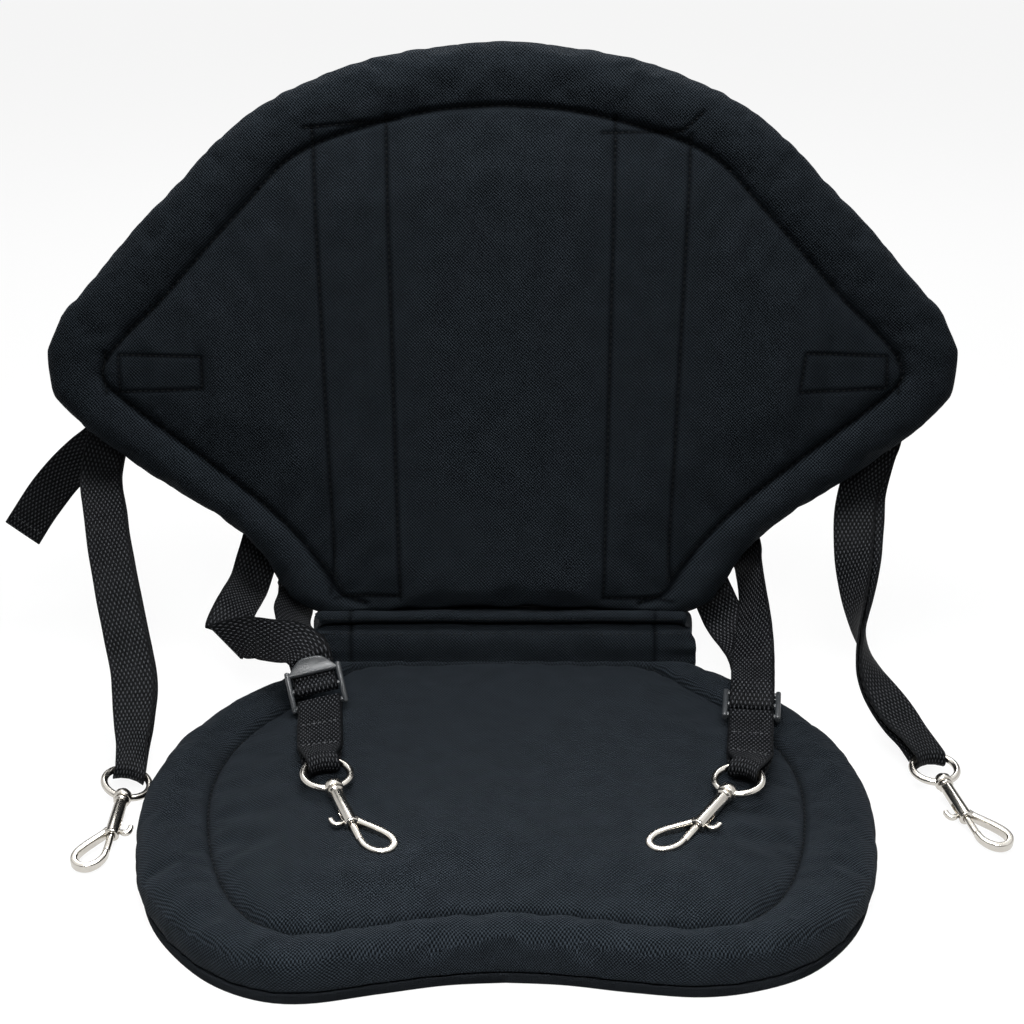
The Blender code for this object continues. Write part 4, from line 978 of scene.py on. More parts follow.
# The webbing's section: share of the half width, share of the half thickness, over and back under
WEB_OVER = [(-0.985, 0.72), (-0.95, 1.0), (-0.86, 0.98), (-0.5, 0.93), (0.0, 0.92), (0.5, 0.93),
            (0.86, 0.98), (0.95, 1.0), (0.985, 0.72)]
WEB_UNDER = [(-share, -high) for share, high in WEB_OVER]
WEB_SECTION = [(-1.0, 0.0)] + WEB_OVER + [(1.0, 0.0)] + WEB_UNDER


def on_web(run, index, share, side):
    """A place on the strap: share of the half width, and side of its middle surface in metres."""
    half = run["width"][index] / 2
    return (run["point"][index] + run["across"][index] * half * share + run["out"][index] * side
            + run["cup"][index] * (share ** 2 - 0.5))


def make_web(name, stations, replaced, seed, step=1.5 * MM):
    run = run_of(stations, step)
    along = run["along"]
    wander = 0.22 * MM * ripple(along, 60 * MM, 14 * MM, 5, seed)
    bulge = 0.35 * MM * ripple(along, 55 * MM, 18 * MM, 4, seed + 50)
    rings, weave = [], []
    for index in range(len(along)):
        ring, places = [], []
        for share, high in WEB_SECTION:
            point = on_web(run, index, share, high * WEB_THICK / 2 + bulge[index] * (1 - share ** 2))
            ring.append(point + run["across"][index] * wander[index] * share)
            places.append((share * WEB_WIDTH / 2 / MM + (0.0 if high >= 0 else 0.6), along[index] / MM))
        rings.append(ring)
        weave.append(places)
    obj = loft(name, np.array(rings), weave=np.array(weave), smooth_angle=55)
    finish_piece(obj, WEBBING, "seat", replaced)
    return run


def soften(stations, steps):
    return [list(row) for row in evenly(smooth(np.array(stations, float), per_span=6), steps)]


def round_middle_bar(matrix):
    """Under the middle bar, over it and back under the tab bar."""
    across = matrix.to_3x3() @ Vector((1, 0, 0))
    radius = BAR_WRAP
    low = BAR_WRAP + LAYER_STEP
    lead = [(BUCKLE_PITCH + 6 * MM, -low - 0.2 * MM), (BUCKLE_PITCH, -low),
            (0.45 * BUCKLE_PITCH, -low + 0.3 * MM)]
    turn = [(radius * cos(radians(angle)), radius * sin(radians(angle))) for angle in range(-95, -341, -35)]
    leave = [(0.52 * BUCKLE_PITCH, -0.75 * radius), (0.8 * BUCKLE_PITCH, -radius),
             (BUCKLE_PITCH + 5 * MM, -radius - 0.1 * MM)]
    return [station(matrix @ Vector((0, y, z)), across) for y, z in lead + turn + leave]


class SnapPlace:
    """Where a snap lies: its hub, its nose, which side its loop is on and how its eye is rolled."""

    def __init__(self, key, hub, nose, loop_right, eye_roll):
        self.key = key
        hub, nose = Vector(hub) * MM, Vector(nose) * MM
        base = frame_matrix(hub, nose - hub, (0, 0, 1))
        self.matrix = base @ Matrix.Rotation(pi if loop_right else 0.0, 4, "X")
        self.eye_matrix = base @ Matrix.Rotation(radians(eye_roll), 4, "X")
        axes = self.eye_matrix.to_3x3()
        self.ahead = axes @ Vector((1, 0, 0))
        self.across = axes @ Vector((0, 1, 0))
        self.wire = self.eye_matrix @ Vector((-EYE_LONG, 0, 0))


SNAPS = {place.key: place for place in [
    SnapPlace("upper_left", (-208.5, 15, 12), (-210.7, -31.2, 5.5), False, -14),
    SnapPlace("upper_right", (245.5, 31.3, 12), (257.1, -15.4, 5.5), True, 0),
    SnapPlace("lower_left", (-88.3, -29, 44), (-71.3, -72.9, 38), True, 0),
    SnapPlace("lower_right", (118.4, -34, 44), (92.8, -72.9, 38), False, 0)]}


def round_the_eye(place, ahead, across):
    start = ahead.cross(across).normalized()
    centre = place.wire + place.ahead * EYE_SAG / 2
    return turn_about(centre, start, EYE_WRAP, across, pi, 8, across, WEB_PINCHED, place.ahead * EYE_SAG)


def doubled(centres, ahead_end, gap_from, gap_to, splay, cup):
    """Two layers of webbing either side of a centre line: there and back."""
    count = len(centres)
    there, back = [], []
    for index, (point, across, width) in enumerate(centres):
        before = centres[max(index - 1, 0)][0]
        after = centres[min(index + 1, count - 1)][0]
        ahead = (after - before).normalized() if index < count - 1 else ahead_end
        across = (across - ahead * across.dot(ahead)).normalized()
        out = ahead.cross(across)
        share = index / (count - 1)
        gap = gap_from + (gap_to - gap_from) * share ** 6
        at_wing = min(4 * share, 1.0) * (1 - share)
        at_snap = share * (1 - share ** 3)
        aside = across * (splay[0] * at_wing + splay[1] * at_snap) / 2
        bent = cup * max(0.0, (share - 0.88) / 0.12) ** 2
        there.append(station(point + out * gap / 2 - aside, across, width, 0.0, bent))
        back.append(station(point - out * gap / 2 + aside, across, width, 0.0, bent))
    return there, back[::-1]


def link_stations(buckle_at, place):
    """A short loop sewn between a buckle's end bar and a snap's eye."""
    bar = buckle_at @ Vector((0, -BUCKLE_PITCH, 0))
    run = place.wire - bar
    ahead = run.normalized()
    start_across = buckle_at.to_3x3() @ Vector((1, 0, 0))
    if start_across.dot(place.across) < 0:
        start_across = -start_across
    cup = place.ahead * EYE_SAG

    def at(share, level):
        across = start_across.lerp(place.across, share)
        across = (across - ahead * across.dot(ahead)).normalized()
        out = ahead.cross(across)
        squeeze = max(0.0, (share - 0.7) / 0.3) ** 2
        return station(bar + run * share + out * (level * LAYER_STEP / 2), across,
                       WEB_WIDTH + (WEB_PINCHED - WEB_WIDTH) * squeeze, 0.0, cup * squeeze)

    across = place.across
    eye_centre = place.wire + place.ahead * EYE_SAG / 2
    round_eye = turn_about(eye_centre, -ahead.cross(across).normalized(), EYE_WRAP, -across, pi, 8, across,
                           WEB_PINCHED, cup)
    first = (start_across - ahead * start_across.dot(ahead)).normalized()
    round_bar = turn_about(bar, ahead.cross(first), BAR_WRAP, -first, pi, 8, first, WEB_WIDTH)
    under = [at(share, -1) for share in (0.49, 0.58, 0.68, 0.78)]
    over = [at(share, 1) for share in (0.78, 0.68, 0.58, 0.45, 0.3, 0.14)]
    close = [at(share, -1) for share in (0.14, 0.3, 0.46)]
    return under + round_eye + over + round_bar + close


ANCHOR_U = 234 * MM
TAB_FROM_U = 176 * MM
TAB_V = 137 * MM
UPPER_BUCKLE_V = 122 * MM
UPPER_BUCKLE_W = PANEL_REAR - 9.0 * MM
STRAP_LEAN = radians(12)
STRAP_SEWN_UP = -1.0 * MM
STRAP_SEWN_LONG = 18.0 * MM
HUNG_ACROSS = Vector((1, 0, 0)) * cos(STRAP_LEAN) - BACK_UP * sin(STRAP_LEAN)


def hung(side, up, w):
    return on_back(side * ANCHOR_U + up * sin(STRAP_LEAN), UPPER_BUCKLE_V + up * cos(STRAP_LEAN), w)


def upper_buckle_at(side):
    return frame_matrix(hung(side, 0, UPPER_BUCKLE_W), HUNG_ACROSS, -BACK_OUT)


def make_wing_anchor(side, key):
    """A tab sewn across behind the wing, and the loop folded down from it round the buckle's end bar."""
    face = PANEL_REAR - TOUCH - WEB_THICK / 2
    tab = [station(on_back(side * u, TAB_V, face), BACK_UP, WEB_WIDTH)
           for u in np.linspace(TAB_FROM_U, ANCHOR_U + WEB_WIDTH / 2, 8)]
    tab_run = make_web(f"wing_tab_{key}", tab, (f"wing_anchor_{key}",), 31)
    face = PANEL_REAR - TOUCH
    top = (TAB_V + WEB_WIDTH / 2 - UPPER_BUCKLE_V) / cos(STRAP_LEAN) - 3.5 * MM
    inner = face - 1.5 * WEB_THICK - 0.1 * MM
    outer = inner - WEB_THICK - TOUCH
    bar = hung(side, BUCKLE_PITCH, UPPER_BUCKLE_W)

    def leg_at(up, w):
        return station(hung(side, up, w), HUNG_ACROSS, WEB_WIDTH - 0.4 * MM)

    down = [leg_at(top, inner), leg_at(BUCKLE_PITCH + 7 * MM, inner),
            leg_at(BUCKLE_PITCH + 3.5 * MM, UPPER_BUCKLE_W + 3.4 * MM)]
    for axis in (HUNG_ACROSS, -HUNG_ACROSS):
        turn = turn_about(bar, BACK_OUT, BAR_WRAP, axis, pi, 8, HUNG_ACROSS, WEB_WIDTH - 0.4 * MM)
        if (Vector(turn[4][:3]) - bar).dot(BACK_UP) < 0:
            break
    rise = [leg_at(BUCKLE_PITCH + 4 * MM, UPPER_BUCKLE_W - 2.4 * MM),
            leg_at(BUCKLE_PITCH + 10 * MM, outer - 1.0 * MM), leg_at(top - 1 * MM, outer)]
    leg_run = make_web(f"wing_loop_{key}", down + turn + rise, (f"wing_anchor_{key}",), 37, 1.1 * MM)
    return tab_run, leg_run


UPPER_ROUTES = {
    "left": [(-239, 212.2, 145.9, 0), (-241.5, 209.2, 135.3, 0), (-243, 204.5, 126.5, 0),
             (-241.3, 192, 120.5, 0), (-237.3, 176, 113.5, 0), (-232.3, 155, 102.5, 0),
             (-225.9, 133, 88, 0), (-218.6, 111, 69, 0), (-210.9, 88, 49, 0), (-208.5, 66, 33.5, 0),
             (-207.5, 51, 23.5, 0)],
    "right": [(228.5, 211.6, 143.5, 0), (224.5, 208.6, 133, 0), (220.5, 204.8, 122.5, 0),
              (216.5, 195, 113.5, 4), (213.5, 178, 102, 14), (211.5, 160, 87, 35), (210.5, 141, 71, 64),
              (210.5, 121, 55, 100), (215, 101, 40, 142), (225, 83, 27.5, 170), (233.5, 68, 20.5, 180)]}
LAYER_SPLAY = {"left": (0.0, 2.2 * MM), "right": (7.0 * MM, 0.0)}
TAIL_ROUTES = {
    "left": [(-238.5, 101, -25.5), (-245, 92, -27), (-256, 83, -29), (-270, 70, -33), (-284, 53, -38),
             (-298, 33, -45)],
    "right": [(229.5, 99, -26), (228, 91, -28), (226.5, 84, -31)]}


def make_upper_strap(side, key, place):
    rows = evenly(smooth(UPPER_ROUTES[key]), 18)
    centres = []
    for index, row in enumerate(rows):
        before, after = rows[max(index - 1, 0)], rows[min(index + 1, len(rows) - 1)]
        ahead = Vector(after[:3] - before[:3]).normalized()
        level = Vector((1, 0, 0))
        level = (level - ahead * level.dot(ahead)).normalized()
        across = Matrix.Rotation(radians(row[3]), 3, ahead) @ level
        squeeze = max(0.0, (index / (len(rows) - 1) - 0.8) / 0.2) ** 2
        centres.append((Vector(row[:3]) * MM, across, WEB_WIDTH + (WEB_PINCHED - WEB_WIDTH) * squeeze))
    last = (Vector(rows[-1][:3]) - Vector(rows[-2][:3])).normalized()
    across_eye = place.across if centres[-1][1].dot(place.across) > 0 else -place.across
    there, back = doubled(centres, last, 2.6 * MM, 2 * EYE_WRAP - 1.0 * MM, LAYER_SPLAY[key],
                          place.ahead * EYE_SAG)
    face = PANEL_REAR - TOUCH - WEB_THICK / 2
    sewn = [station(hung(side, STRAP_SEWN_UP - down, face), HUNG_ACROSS)
            for down in (0.0, STRAP_SEWN_LONG / 2, STRAP_SEWN_LONG)]
    wrapped = round_middle_bar(upper_buckle_at(side))
    free = [on_back(u * MM, v * MM, w * MM) for u, v, w in TAIL_ROUTES[key]]
    tail = []
    for index, point in enumerate(free):
        before = Vector(wrapped[-1][:3]) if index == 0 else free[index - 1]
        ahead = (point - before).normalized()
        out = (BACK_OUT - ahead * BACK_OUT.dot(ahead)).normalized()
        tail.append(station(point, -ahead.cross(out)))
    stations = sewn + there + round_the_eye(place, last, across_eye) + back + wrapped + tail
    return make_web(f"web_upper_{key}", stations, (f"upper_strap_{key}",), 41 if side < 0 else 43)


LOWER_BUCKLES = {
    "left": frame_matrix(Vector((-105.5, 75, 48)) * MM, (0.974, 0.112, 0.195), (0, -0.865, 0.5)),
    "right": frame_matrix(Vector((141, 66, 41.5)) * MM, (-0.99, 0.12, 0), (0, 0.17, -0.98))}
LOWER_SEWN = {"left": [((-113.8, 19.2), (0.81, -0.58)), ((-120.5, 10.0), (0.81, -0.58))],
              "right": [((126.5, 50.0), (0.75, 0.66)), ((136.5, 38.8), (0.75, 0.66))]}
LOWER_ROUTES = {
    "left": [((-126, 188.5, 56.6), (0.80, -0.17, -0.57)), ((-125.5, 172, 54.6), (0.80, -0.1, -0.57)),
             ((-125.5, 150, 56.5), (0.80, 0, -0.5)), ((-121, 130, 58.5), (0.88, 0.03, -0.3)),
             ((-117, 113, 61), (0.95, 0.07, 0.0)), ((-112.5, 99, 62), (0.97, 0.1, 0.15))],
    "right": [((147.5, 194, 81), (0.68, -0.3, 0.66)), ((149, 180, 74), (0.52, -0.42, 0.73)),
              ((149.5, 158, 63), (0.56, -0.40, 0.70)), ((148, 132, 53.5), (0.84, -0.28, 0.46)),
              ((145.2, 104, 47.8), (0.99, -0.1, 0.1))]}
FOLD_AT = (-161, 119, 55.3)
FOLD_WIDTH = 27 * MM
LOWER_TAILS = {
    "left": [((-111, 86.5, 64.2), (0.974, 0.112, 0.195)), ((-119, 94, 66.5), (0.6, 0.3, 0.64)),
             ((-133, 103, 63.7), (-0.1, 0.5, 0.86)), ((-146, 112, 61.2), (-0.45, 0.45, 0.77))],
    "left_after": [((-162.5, 131, 58), (-0.91, 0.19, 0.33)), ((-158.5, 149, 63), (-0.86, 0.18, 0.45)),
                   ((-156, 173, 61), (-0.84, 0.18, 0.48)), ((-154, 191.5, 61.5), (-0.84, 0.18, 0.48)),
                   ((-150, 202, 74), (-0.86, 0.2, 0.46)), ((-144, 206, 93), (-0.9, 0.1, 0.3)),
                   ((-139, 209, 110), (-1, 0, 0))],
    "right": [((144.5, 96, 42.8), (-0.99, 0.12, 0)), ((145.5, 118, 41), (-1, 0, 0)),
              ((142.5, 141, 41), (-1, 0.05, -0.1)), ((134, 163, 47), (-0.92, -0.1, -0.35)),
              ((127.5, 186, 55.5), (-0.82, -0.17, -0.55)), ((121.5, 195, 66), (-0.81, -0.15, -0.56)),
              ((115, 199, 77), (-0.85, -0.14, -0.5))]}


def flat_fold():
    """Webbing turned back on itself along a slanting line."""
    face = Vector((0, -0.86, 0.5)).normalized()
    right = Vector((1, 0, 0))
    down = right.cross(face) * -1
    if down.z > 0:
        down = -down
    line = (-(right + down)).normalized()
    arriving = (right * -0.92 + down * 0.39).normalized()
    outward = (arriving - line * arriving.dot(line)).normalized()
    centre = Vector(FOLD_AT) * MM - face * LAYER_STEP / 2
    axis = face.cross(outward).normalized()
    return turn_about(centre, face, LAYER_STEP / 2, axis, pi, 6, line, FOLD_WIDTH)


def make_lower_strap(key):
    face = PANEL_REAR - TOUCH - WEB_THICK / 2
    sewn = [station(on_back(u * MM, v * MM, face), Vector((a, 0, 0)) + BACK_UP * b)
            for (u, v), (a, b) in LOWER_SEWN[key]]
    route = [station(Vector(point) * MM, across) for point, across in LOWER_ROUTES[key]]
    wrapped = round_middle_bar(LOWER_BUCKLES[key])
    sign = 1 if wrapped[0][3] > 0 else -1
    wrapped = [station(row[:3], Vector(row[3:6]) * sign) for row in wrapped]
    tail = [station(Vector(point) * MM, Vector(across) * (1 if key == "left" else -1))
            for point, across in LOWER_TAILS[key]]
    stations = soften(sewn + route + wrapped[:1], 16)[:-1] + wrapped + soften(wrapped[-1:] + tail, 10)[1:]
    if key == "left":
        after = [station(Vector(point) * MM, across) for point, across in LOWER_TAILS["left_after"]]
        stations += flat_fold() + soften(after, 8)
    return make_web(f"web_lower_{key}", stations, (f"lower_strap_{key}",), 47 if key == "left" else 53)


def make_link(key, place):
    stations = link_stations(LOWER_BUCKLES[key], place)
    seed = 59 if key == "left" else 61
    return make_web(f"web_link_{key}", stations, (f"lower_link_{key}",), seed, 1.2 * MM)


# Moulded and cast pieces, each modelled once about its own axes

def fix_size(obj):
    bpy.ops.object.transform_apply(location=True, rotation=True, scale=True)
    return obj


def soft_block(name, size, place, soft, turned=(0, 0, 0), taper=1.0, far_corner=0.0):
    """A block with rounded edges; taper narrows its far side in Y, and far_corner rounds it more."""
    pick_nothing()
    bpy.ops.mesh.primitive_cube_add(size=1, location=place, rotation=turned)
    obj = bpy.context.object
    obj.name = name
    bpy.ops.object.mode_set(mode="EDIT")
    if taper != 1.0:
        bpy.ops.mesh.select_mode(type="VERT")
        work = bmesh.from_edit_mesh(obj.data)
        for corner in work.verts:
            corner.select_set(corner.co.y > 0)
        work.select_flush_mode()
        bmesh.update_edit_mesh(obj.data)
        bpy.ops.transform.resize(value=(taper, 1, 1), center_override=place)
    bpy.ops.object.mode_set(mode="OBJECT")
    obj.scale = size
    fix_size(obj)
    bpy.ops.object.mode_set(mode="EDIT")
    if far_corner:
        bpy.ops.mesh.select_all(action="DESELECT")
        bpy.ops.mesh.select_mode(type="EDGE")
        work = bmesh.from_edit_mesh(obj.data)
        farthest = sorted(work.verts, key=lambda point: point.co.y)[-4:]
        for edge in work.edges:
            apart = abs(edge.verts[0].co.x - edge.verts[1].co.x)
            edge.select_set(apart < 0.1 * MM and edge.verts[0] in farthest and edge.verts[1] in farthest)
        work.select_flush_mode()
        bmesh.update_edit_mesh(obj.data)
        bpy.ops.mesh.bevel(offset=far_corner, segments=6, affect="EDGES", profile=0.5)
    bpy.ops.mesh.select_all(action="SELECT")
    bpy.ops.mesh.bevel(offset=soft, segments=3, affect="EDGES", profile=0.5)
    bpy.ops.object.mode_set(mode="OBJECT")
    return obj


def lathe(name, profile, sides=36):
    """A turned piece along X: a disc extruded and resized through pairs of place and radius."""
    pick_nothing()
    start, radius = profile[0]
    bpy.ops.mesh.primitive_circle_add(vertices=sides, radius=radius, fill_type="NGON",
                                      location=(start, 0, 0), rotation=(0, pi / 2, 0))
    obj = fix_size(bpy.context.object)
    obj.name = name
    bpy.ops.object.mode_set(mode="EDIT")
    bpy.ops.mesh.select_all(action="SELECT")
    for place, size in profile[1:]:
        bpy.ops.mesh.extrude_region_move(TRANSFORM_OT_translate={"value": (place - start, 0, 0)})
        if abs(size - radius) > 1e-9:
            share = size / radius
            bpy.ops.transform.resize(value=(1, share, share), center_override=(place, 0, 0))
        start, radius = place, size
    bpy.ops.mesh.select_all(action="SELECT")
    bpy.ops.mesh.normals_make_consistent(inside=False)
    bpy.ops.object.mode_set(mode="OBJECT")
    return obj


def bar_along(name, route, wide, tall, swell, corner):
    """A soft-cornered bar: its section is extruded, turned and resized along a route in the XY plane."""
    ahead = np.gradient(route, axis=0)
    angles = np.unwrap(np.arctan2(ahead[:, 1], ahead[:, 0]))
    pick_nothing()
    bpy.ops.mesh.primitive_plane_add(size=1, location=(*route[0], 0),
                                     rotation=(pi / 2, 0, angles[0] + pi / 2))
    obj = bpy.context.object
    obj.name = name
    obj.scale = (wide * swell[0], tall * swell[0], 1)
    fix_size(obj)
    bpy.ops.object.mode_set(mode="EDIT")
    bpy.ops.mesh.select_all(action="SELECT")
    bpy.ops.mesh.bevel(offset=corner, segments=4, affect="VERTICES")
    bpy.ops.mesh.select_all(action="SELECT")
    for index in range(1, len(route)):
        step = route[index] - route[index - 1]
        centre = (*route[index], 0)
        share = swell[index] / swell[index - 1]
        bpy.ops.mesh.extrude_region_move(TRANSFORM_OT_translate={"value": (*step, 0)})
        bpy.ops.transform.rotate(value=-(angles[index] - angles[index - 1]), orient_axis="Z",
                                 center_override=centre)
        bpy.ops.transform.resize(value=(share, share, share), center_override=centre)
    bpy.ops.mesh.select_all(action="SELECT")
    bpy.ops.mesh.normals_make_consistent(inside=False)
    bpy.ops.object.mode_set(mode="OBJECT")
    return obj


def join_solid(body, other, operation="UNION"):
    step = body.modifiers.new("join", "BOOLEAN")
    step.operation = operation
    step.solver = "EXACT"
    step.object = other
    apply_modifiers(body)
    bpy.data.objects.remove(other)


def soft_edges(obj, width, angle=40):
    """Small rounded edges, and smooth faces between them."""
    step = obj.modifiers.new("edges", "BEVEL")
    step.width = width
    step.segments = 2
    step.limit_method = "ANGLE"
    step.angle_limit = radians(angle)
    step.use_clamp_overlap = True
    step.harden_normals = False
    apply_modifiers(obj)
    pick_only(obj)
    bpy.ops.object.shade_smooth_by_angle(angle=radians(35))
    return obj


def put_copy(pattern, name, matrix, material, body, replaced):
    obj = bpy.data.objects.new(name, pattern.data.copy())
    bpy.context.collection.objects.link(obj)
    obj.data.transform(matrix)
    return finish_piece(obj, material, body, replaced)


def model_buckle():
    """A ladder-lock buckle: two rails, three bars, and a narrowing lift tab bent up beyond the third bar."""
    rail_long = 2 * BUCKLE_PITCH + BUCKLE_BAR + 1.5 * MM
    rail_x = (BUCKLE_INSIDE + BUCKLE_RAIL) / 2
    rail_size = (BUCKLE_RAIL, rail_long, BUCKLE_THICK)
    buckle = soft_block("buckle_pattern", rail_size, (-rail_x, 0, 0), 1.25 * MM)
    rail = soft_block("rail", rail_size, (rail_x, 0, 0), 1.25 * MM)
    join_solid(buckle, rail)
    radius = BUCKLE_BAR / 2
    for y in (-BUCKLE_PITCH, 0.0, BUCKLE_PITCH):
        bar = lathe("bar", [(-rail_x, radius), (rail_x, radius)], 20)
        bar.data.transform(Matrix.Translation((0, y, 0)))
        join_solid(buckle, bar)
    tab_wide = BUCKLE_INSIDE + BUCKLE_RAIL
    tab_long = BUCKLE_TAB + 2.4 * MM
    middle = (0, BUCKLE_PITCH + tab_long / 2 - 0.4 * MM, 1.4 * MM)
    tab = soft_block("tab", (tab_wide, tab_long, 2.0 * MM), middle, 0.75 * MM, turned=(radians(14), 0, 0),
                     taper=0.42, far_corner=3.6 * MM)
    join_solid(buckle, tab)
    pick_only(buckle)
    bpy.ops.object.shade_smooth_by_angle(angle=radians(35))
    return buckle


def make_buckles():
    pattern = model_buckle()
    places = [("upper_buckle_left", upper_buckle_at(-1)), ("upper_buckle_right", upper_buckle_at(1)),
              ("lower_buckle_left", LOWER_BUCKLES["left"]), ("lower_buckle_right", LOWER_BUCKLES["right"])]
    for node, matrix in places:
        put_copy(pattern, f"{node}_moulded", matrix, PLASTIC, "seat", (node,))
    bpy.data.objects.remove(pattern)


# Bolt snaps, on their own axes: X from hub to nose, the loop on -Y and the thumb piece on +Y

HUB_RADIUS = 5.0 * MM
HUB_THICK = 4.4 * MM
STEM_RADIUS = 2.0 * MM
STEM_CLEAR = 0.35 * MM
HEAD_RADIUS = 3.6 * MM
HEAD_LONG = 2.6 * MM
COLLAR_RADIUS = 4.3 * MM
COLLAR_LONG = 2.0 * MM
BARREL_RADIUS = 3.7 * MM
BARREL_END = 33.0 * MM
BORE_RADIUS = 2.3 * MM
BORE_START = 7.0 * MM
LIP_RADIUS = 4.2 * MM
LIP_LONG = 1.6 * MM
BOLT_RADIUS = 1.9 * MM
BOLT_START = 20.5 * MM
BOLT_TRAVEL = 8.0 * MM
NOSE_AT = 46.0 * MM
SLOT_WIDTH = 2.6 * MM
KNOB_AT = 29.4 * MM
KNOB_THICK = 2.0 * MM
LOOP_TALL = 5.4 * MM
LOOP_WIDE = 3.9 * MM
HOOK_ROUTE = [(29.0, -2.4), (32.6, -4.2), (37.6, -8.0), (43.2, -12.1), (49.0, -15.2), (54.6, -15.4),
              (58.4, -12.2), (59.1, -7.6), (56.4, -3.4), (52.2, -0.9), (49.0, -0.1), (46.3, 0.0)]
KNOB_ROUTE = [(0.0, 0.6), (0.0, 3.2), (0.3, 5.0), (1.0, 6.4), (0.9, 8.0), (-1.0, 9.2), (-4.2, 9.5)]


def model_eye():
    """The cast ring that the webbing passes through, with the drilled hub that the stem turns in."""
    pick_nothing()
    bpy.ops.mesh.primitive_torus_add(major_segments=72, minor_segments=20, major_radius=EYE_HALF,
                                     minor_radius=SNAP_WIRE / 2, location=(-EYE_LONG / 2, 0, 0))
    eye = bpy.context.object
    eye.name = "eye_pattern"
    eye.scale = (EYE_LONG / 2 / EYE_HALF, 1, 1)
    fix_size(eye)
    half = HUB_THICK / 2
    hub = lathe("hub", [(-half, HUB_RADIUS - 0.7 * MM), (-half + 0.25 * MM, HUB_RADIUS - 0.25 * MM),
                        (-half + 0.7 * MM, HUB_RADIUS), (half - 0.7 * MM, HUB_RADIUS),
                        (half - 0.25 * MM, HUB_RADIUS - 0.25 * MM), (half, HUB_RADIUS - 0.7 * MM)])
    join_solid(eye, hub)
    hole_radius = STEM_RADIUS + STEM_CLEAR
    hole = lathe("hole", [(-half - 2 * MM, hole_radius), (half + 2 * MM, hole_radius)], 28)
    join_solid(eye, hole, "DIFFERENCE")
    return soft_edges(eye, 0.2 * MM)


def model_body():
    """Swivel head, stem, collar, bored and slotted barrel and the hook, in one casting."""
    hub_half = HUB_THICK / 2 + STEM_CLEAR
    head = [(-hub_half - HEAD_LONG * along, HEAD_RADIUS * share)
            for along, share in ((1.0, 0.25), (0.93, 0.55), (0.72, 0.82), (0.4, 0.97), (0.15, 1.0))]
    head.append((-hub_half, HEAD_RADIUS - 0.2 * MM))
    collar_end = hub_half + COLLAR_LONG
    collar = [(hub_half, COLLAR_RADIUS - 0.4 * MM), (hub_half + 0.4 * MM, COLLAR_RADIUS),
              (collar_end - 0.4 * MM, COLLAR_RADIUS), (collar_end, COLLAR_RADIUS - 0.3 * MM)]
    neck = [(collar_end + 0.4 * MM, BARREL_RADIUS - 0.35 * MM),
            (collar_end + 1.6 * MM, BARREL_RADIUS - 0.1 * MM)]
    lip_start = BARREL_END - LIP_LONG
    lip = [(lip_start - 0.5 * MM, BARREL_RADIUS), (lip_start - 0.1 * MM, LIP_RADIUS - 0.2 * MM),
           (lip_start + 0.2 * MM, LIP_RADIUS), (BARREL_END - 0.45 * MM, LIP_RADIUS),
           (BARREL_END, LIP_RADIUS - 0.45 * MM)]
    stem = [(-hub_half, STEM_RADIUS), (hub_half, STEM_RADIUS)]
    body = lathe("body_pattern", head + stem + collar + neck + lip)
    route = evenly(smooth(HOOK_ROUTE), 64, measure=2) * MM
    share = np.linspace(0, 1, len(route))
    fuller = 0.10 * np.sin(pi * np.clip(share * 1.2, 0, 1))
    swell = 0.92 + fuller - 0.10 * np.clip((share - 0.75) / 0.25, 0, 1)
    join_solid(body, bar_along("loop", route, LOOP_WIDE, LOOP_TALL, swell, 1.15 * MM))
    bore = lathe("bore", [(BORE_START, BORE_RADIUS), (BARREL_END + 6 * MM, BORE_RADIUS)], 28)
    join_solid(body, bore, "DIFFERENCE")
    slot_start = KNOB_AT - BOLT_TRAVEL - KNOB_THICK / 2 - 0.5 * MM
    slot_end = KNOB_AT + KNOB_THICK / 2 + 0.5 * MM
    slot = soft_block("slot", (slot_end - slot_start, 6 * MM, SLOT_WIDTH),
                      ((slot_start + slot_end) / 2, 4.2 * MM, 0), 0.7 * MM)
    join_solid(body, slot, "DIFFERENCE")
    return soft_edges(body, 0.14 * MM)


def model_bolt():
    """The sliding bolt, with the curled thumb piece that stands out through the slot."""
    tip = NOSE_AT - TOUCH
    profile = [(BOLT_START, BOLT_RADIUS), (tip - 0.4 * MM, BOLT_RADIUS),
               (tip - 0.12 * MM, BOLT_RADIUS - 0.12 * MM), (tip, BOLT_RADIUS - 0.4 * MM)]
    bolt = lathe("bolt_pattern", profile, 30)
    route = evenly(smooth(KNOB_ROUTE), 22, measure=2) * MM + np.array([KNOB_AT, 0])
    outside = np.clip((route[:, 1] - BARREL_RADIUS) / (2.5 * MM), 0, 1)
    knob = bar_along("knob", route, KNOB_THICK, SLOT_WIDTH - 0.5 * MM, 1.0 + 0.35 * outside, 0.5 * MM)
    join_solid(bolt, knob)
    return soft_edges(bolt, 0.14 * MM)


def make_snaps():
    patterns = {"eye": model_eye(), "body": model_body(), "bolt": model_bolt()}
    for key, place in SNAPS.items():
        put_copy(patterns["eye"], f"cast_eye_{key}", place.eye_matrix, NICKEL, "seat",
                 (f"snap_eye_{key}",))
        put_copy(patterns["body"], f"cast_hook_{key}", place.matrix, NICKEL, f"hook_{key}",
                 (f"snap_body_{key}",))
        put_copy(patterns["bolt"], f"slide_bolt_{key}", place.matrix, NICKEL, f"bolt_{key}",
                 (f"snap_bolt_{key}",))
    for pattern in patterns.values():
        bpy.data.objects.remove(pattern)


def give_finish(node, material):
    """A solid whose shape is right keeps it and gets its finish."""
    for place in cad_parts[node].material_slots:
        place.material = material


# Stitching: short lengths of thread, sunk at both ends

